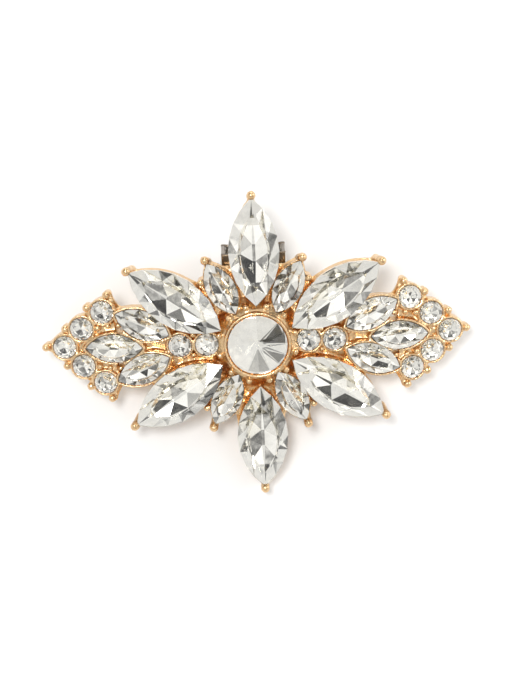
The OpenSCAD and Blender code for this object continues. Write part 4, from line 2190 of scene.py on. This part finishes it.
@dataclass(frozen=True)
class Studio:
    """A pale table under soft light, and the camera straight above it."""

    floor_r: float = 1.2
    floor_sides: int = 96
    lens_mm: float = 150.0
    frame_w: float = 0.071
    image: Span = (516, 688)
    sensor: float = 36.0
    roll: float = 2.8
    clip: Span = (0.01, 20)
    strength: float = 1.55
    horizon: tuple = ((0.0, 0.85), (0.25, 0.7), (0.6, 1.0))
    clutter: float = 2.6
    gaps: tuple = ((0.43, 0.02), (0.46, 0.75), (0.62, 1.0))
    gap_rise: Span = (0.12, 0.4)
    cards: tuple = (
        Card((0, 0, 1), 11.5, 0.12, 1.5),
        Card((0, -0.56, 0.83), 23.5, 1.0, 1.5),
        Card((-0.33, -0.59, 0.735), 7.0, 0.03),
        Card((-0.28, -0.30, 0.91), 4.0, 0.25),
    )
    lamps: tuple = (
        Lamp("key", (-0.15, 0.14, 0.96), 0.26, 4.4),
        Lamp("fill", (0.75, 0.25, 0.38), 0.4, 2.0),
        Lamp("rim", (0.1, 0.8, 0.35), 0.3, 1.3),
    )
    bounces: int = 24

    def floor(self, lie: Lie) -> None:
        """Lays the table.

        Args:
            lie: How the clip lies.
        """
        work = bmesh.new()
        bmesh.ops.create_circle(work, cap_ends=True, radius=self.floor_r, segments=self.floor_sides)
        obj = linked(meshed(work, "table"))
        obj.data.materials.append(TablePaper().material(lie))
        obj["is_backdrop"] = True

    def camera(self, middle: Vector) -> None:
        """Sets the camera above the clip.

        Args:
            middle: The clip's middle.
        """
        data = bpy.data.cameras.new("camera")
        data.lens = self.lens_mm
        data.sensor_width = self.sensor
        data.clip_start, data.clip_end = self.clip
        frame_h = self.frame_w * self.image[1] / self.image[0]
        obj = bpy.data.objects.new("camera", data)
        obj.location = (middle.x, middle.y, middle.z + frame_h * self.lens_mm / self.sensor)
        obj.rotation_euler = (0, 0, math.radians(-self.roll))
        bpy.context.scene.collection.objects.link(obj)
        bpy.context.scene.camera = obj

    def sky(self) -> None:
        """Spans a soft sky with gaps, and holds the cards before it."""
        world = bpy.data.worlds.new("studio")
        world.use_nodes = True
        t = NodeTree(world.node_tree)
        t.tree.nodes.clear()
        way = t.out("ShaderNodeTexCoord", output="Generated")
        up = t.out("ShaderNodeSeparateXYZ", {0: way}, "Z")
        gaps = t.ramp(t.noise(way, self.clutter, 1.0), *self.gaps)
        torn = t.mix_values(t.mapped(up, *self.gap_rise), 1.0, gaps)
        strength = t.times(t.times(t.ramp(up, *self.horizon), torn), self.strength)
        for card in self.cards:
            ways = {0: way, 1: Vector(card.way).normalized()}
            near = t.out("ShaderNodeVectorMath", ways, "Value", operation="DOT_PRODUCT")
            edges = [arc(card.reach + off)[0] for off in (card.soft, -card.soft)]
            strength = t.mix_values(t.mapped(near, *edges), strength, card.tone)
        glow = t.out("ShaderNodeBackground", {"Strength": strength})
        t.add("ShaderNodeOutputWorld", {"Surface": glow})
        bpy.context.scene.world = world

    def light(self) -> None:
        """Lights the table, and lets light bounce in the stones as often as it needs to."""
        self.sky()
        for lamp in self.lamps:
            lamp.hang()
        scene = bpy.context.scene
        scene.view_settings.view_transform = "Standard"
        scene.cycles.max_bounces = self.bounces
        scene.cycles.glossy_bounces = self.bounces
        scene.cycles.transmission_bounces = self.bounces


def main() -> None:
    """Builds the clip piece by piece round the frame."""
    logging.basicConfig(level=logging.INFO, format="%(name)s %(message)s")
    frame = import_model()
    cad_low, cad_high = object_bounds()
    sizes = ClipSizes()
    lie = Lie.from_frame(frame, sizes.hinge())
    studio = Studio()
    studio.camera((cad_low + cad_high) / 2)
    studio.light()
    studio.floor(lie)
    palette = Palette.mixed(lie)
    layout = Layout()
    stones = Stones(lie, palette, layout)
    casting = Casting(lie, palette, layout, stones)
    beads = BeadWork(lie, palette, casting, BeadTree())
    clip = [kind(lie, palette, sizes) for kind in (Bracket, Lever, HingePin, LeafSpring)]
    for assembly in (stones, casting, beads, *clip):
        assembly.build()


if __name__ == "__main__":
    main()
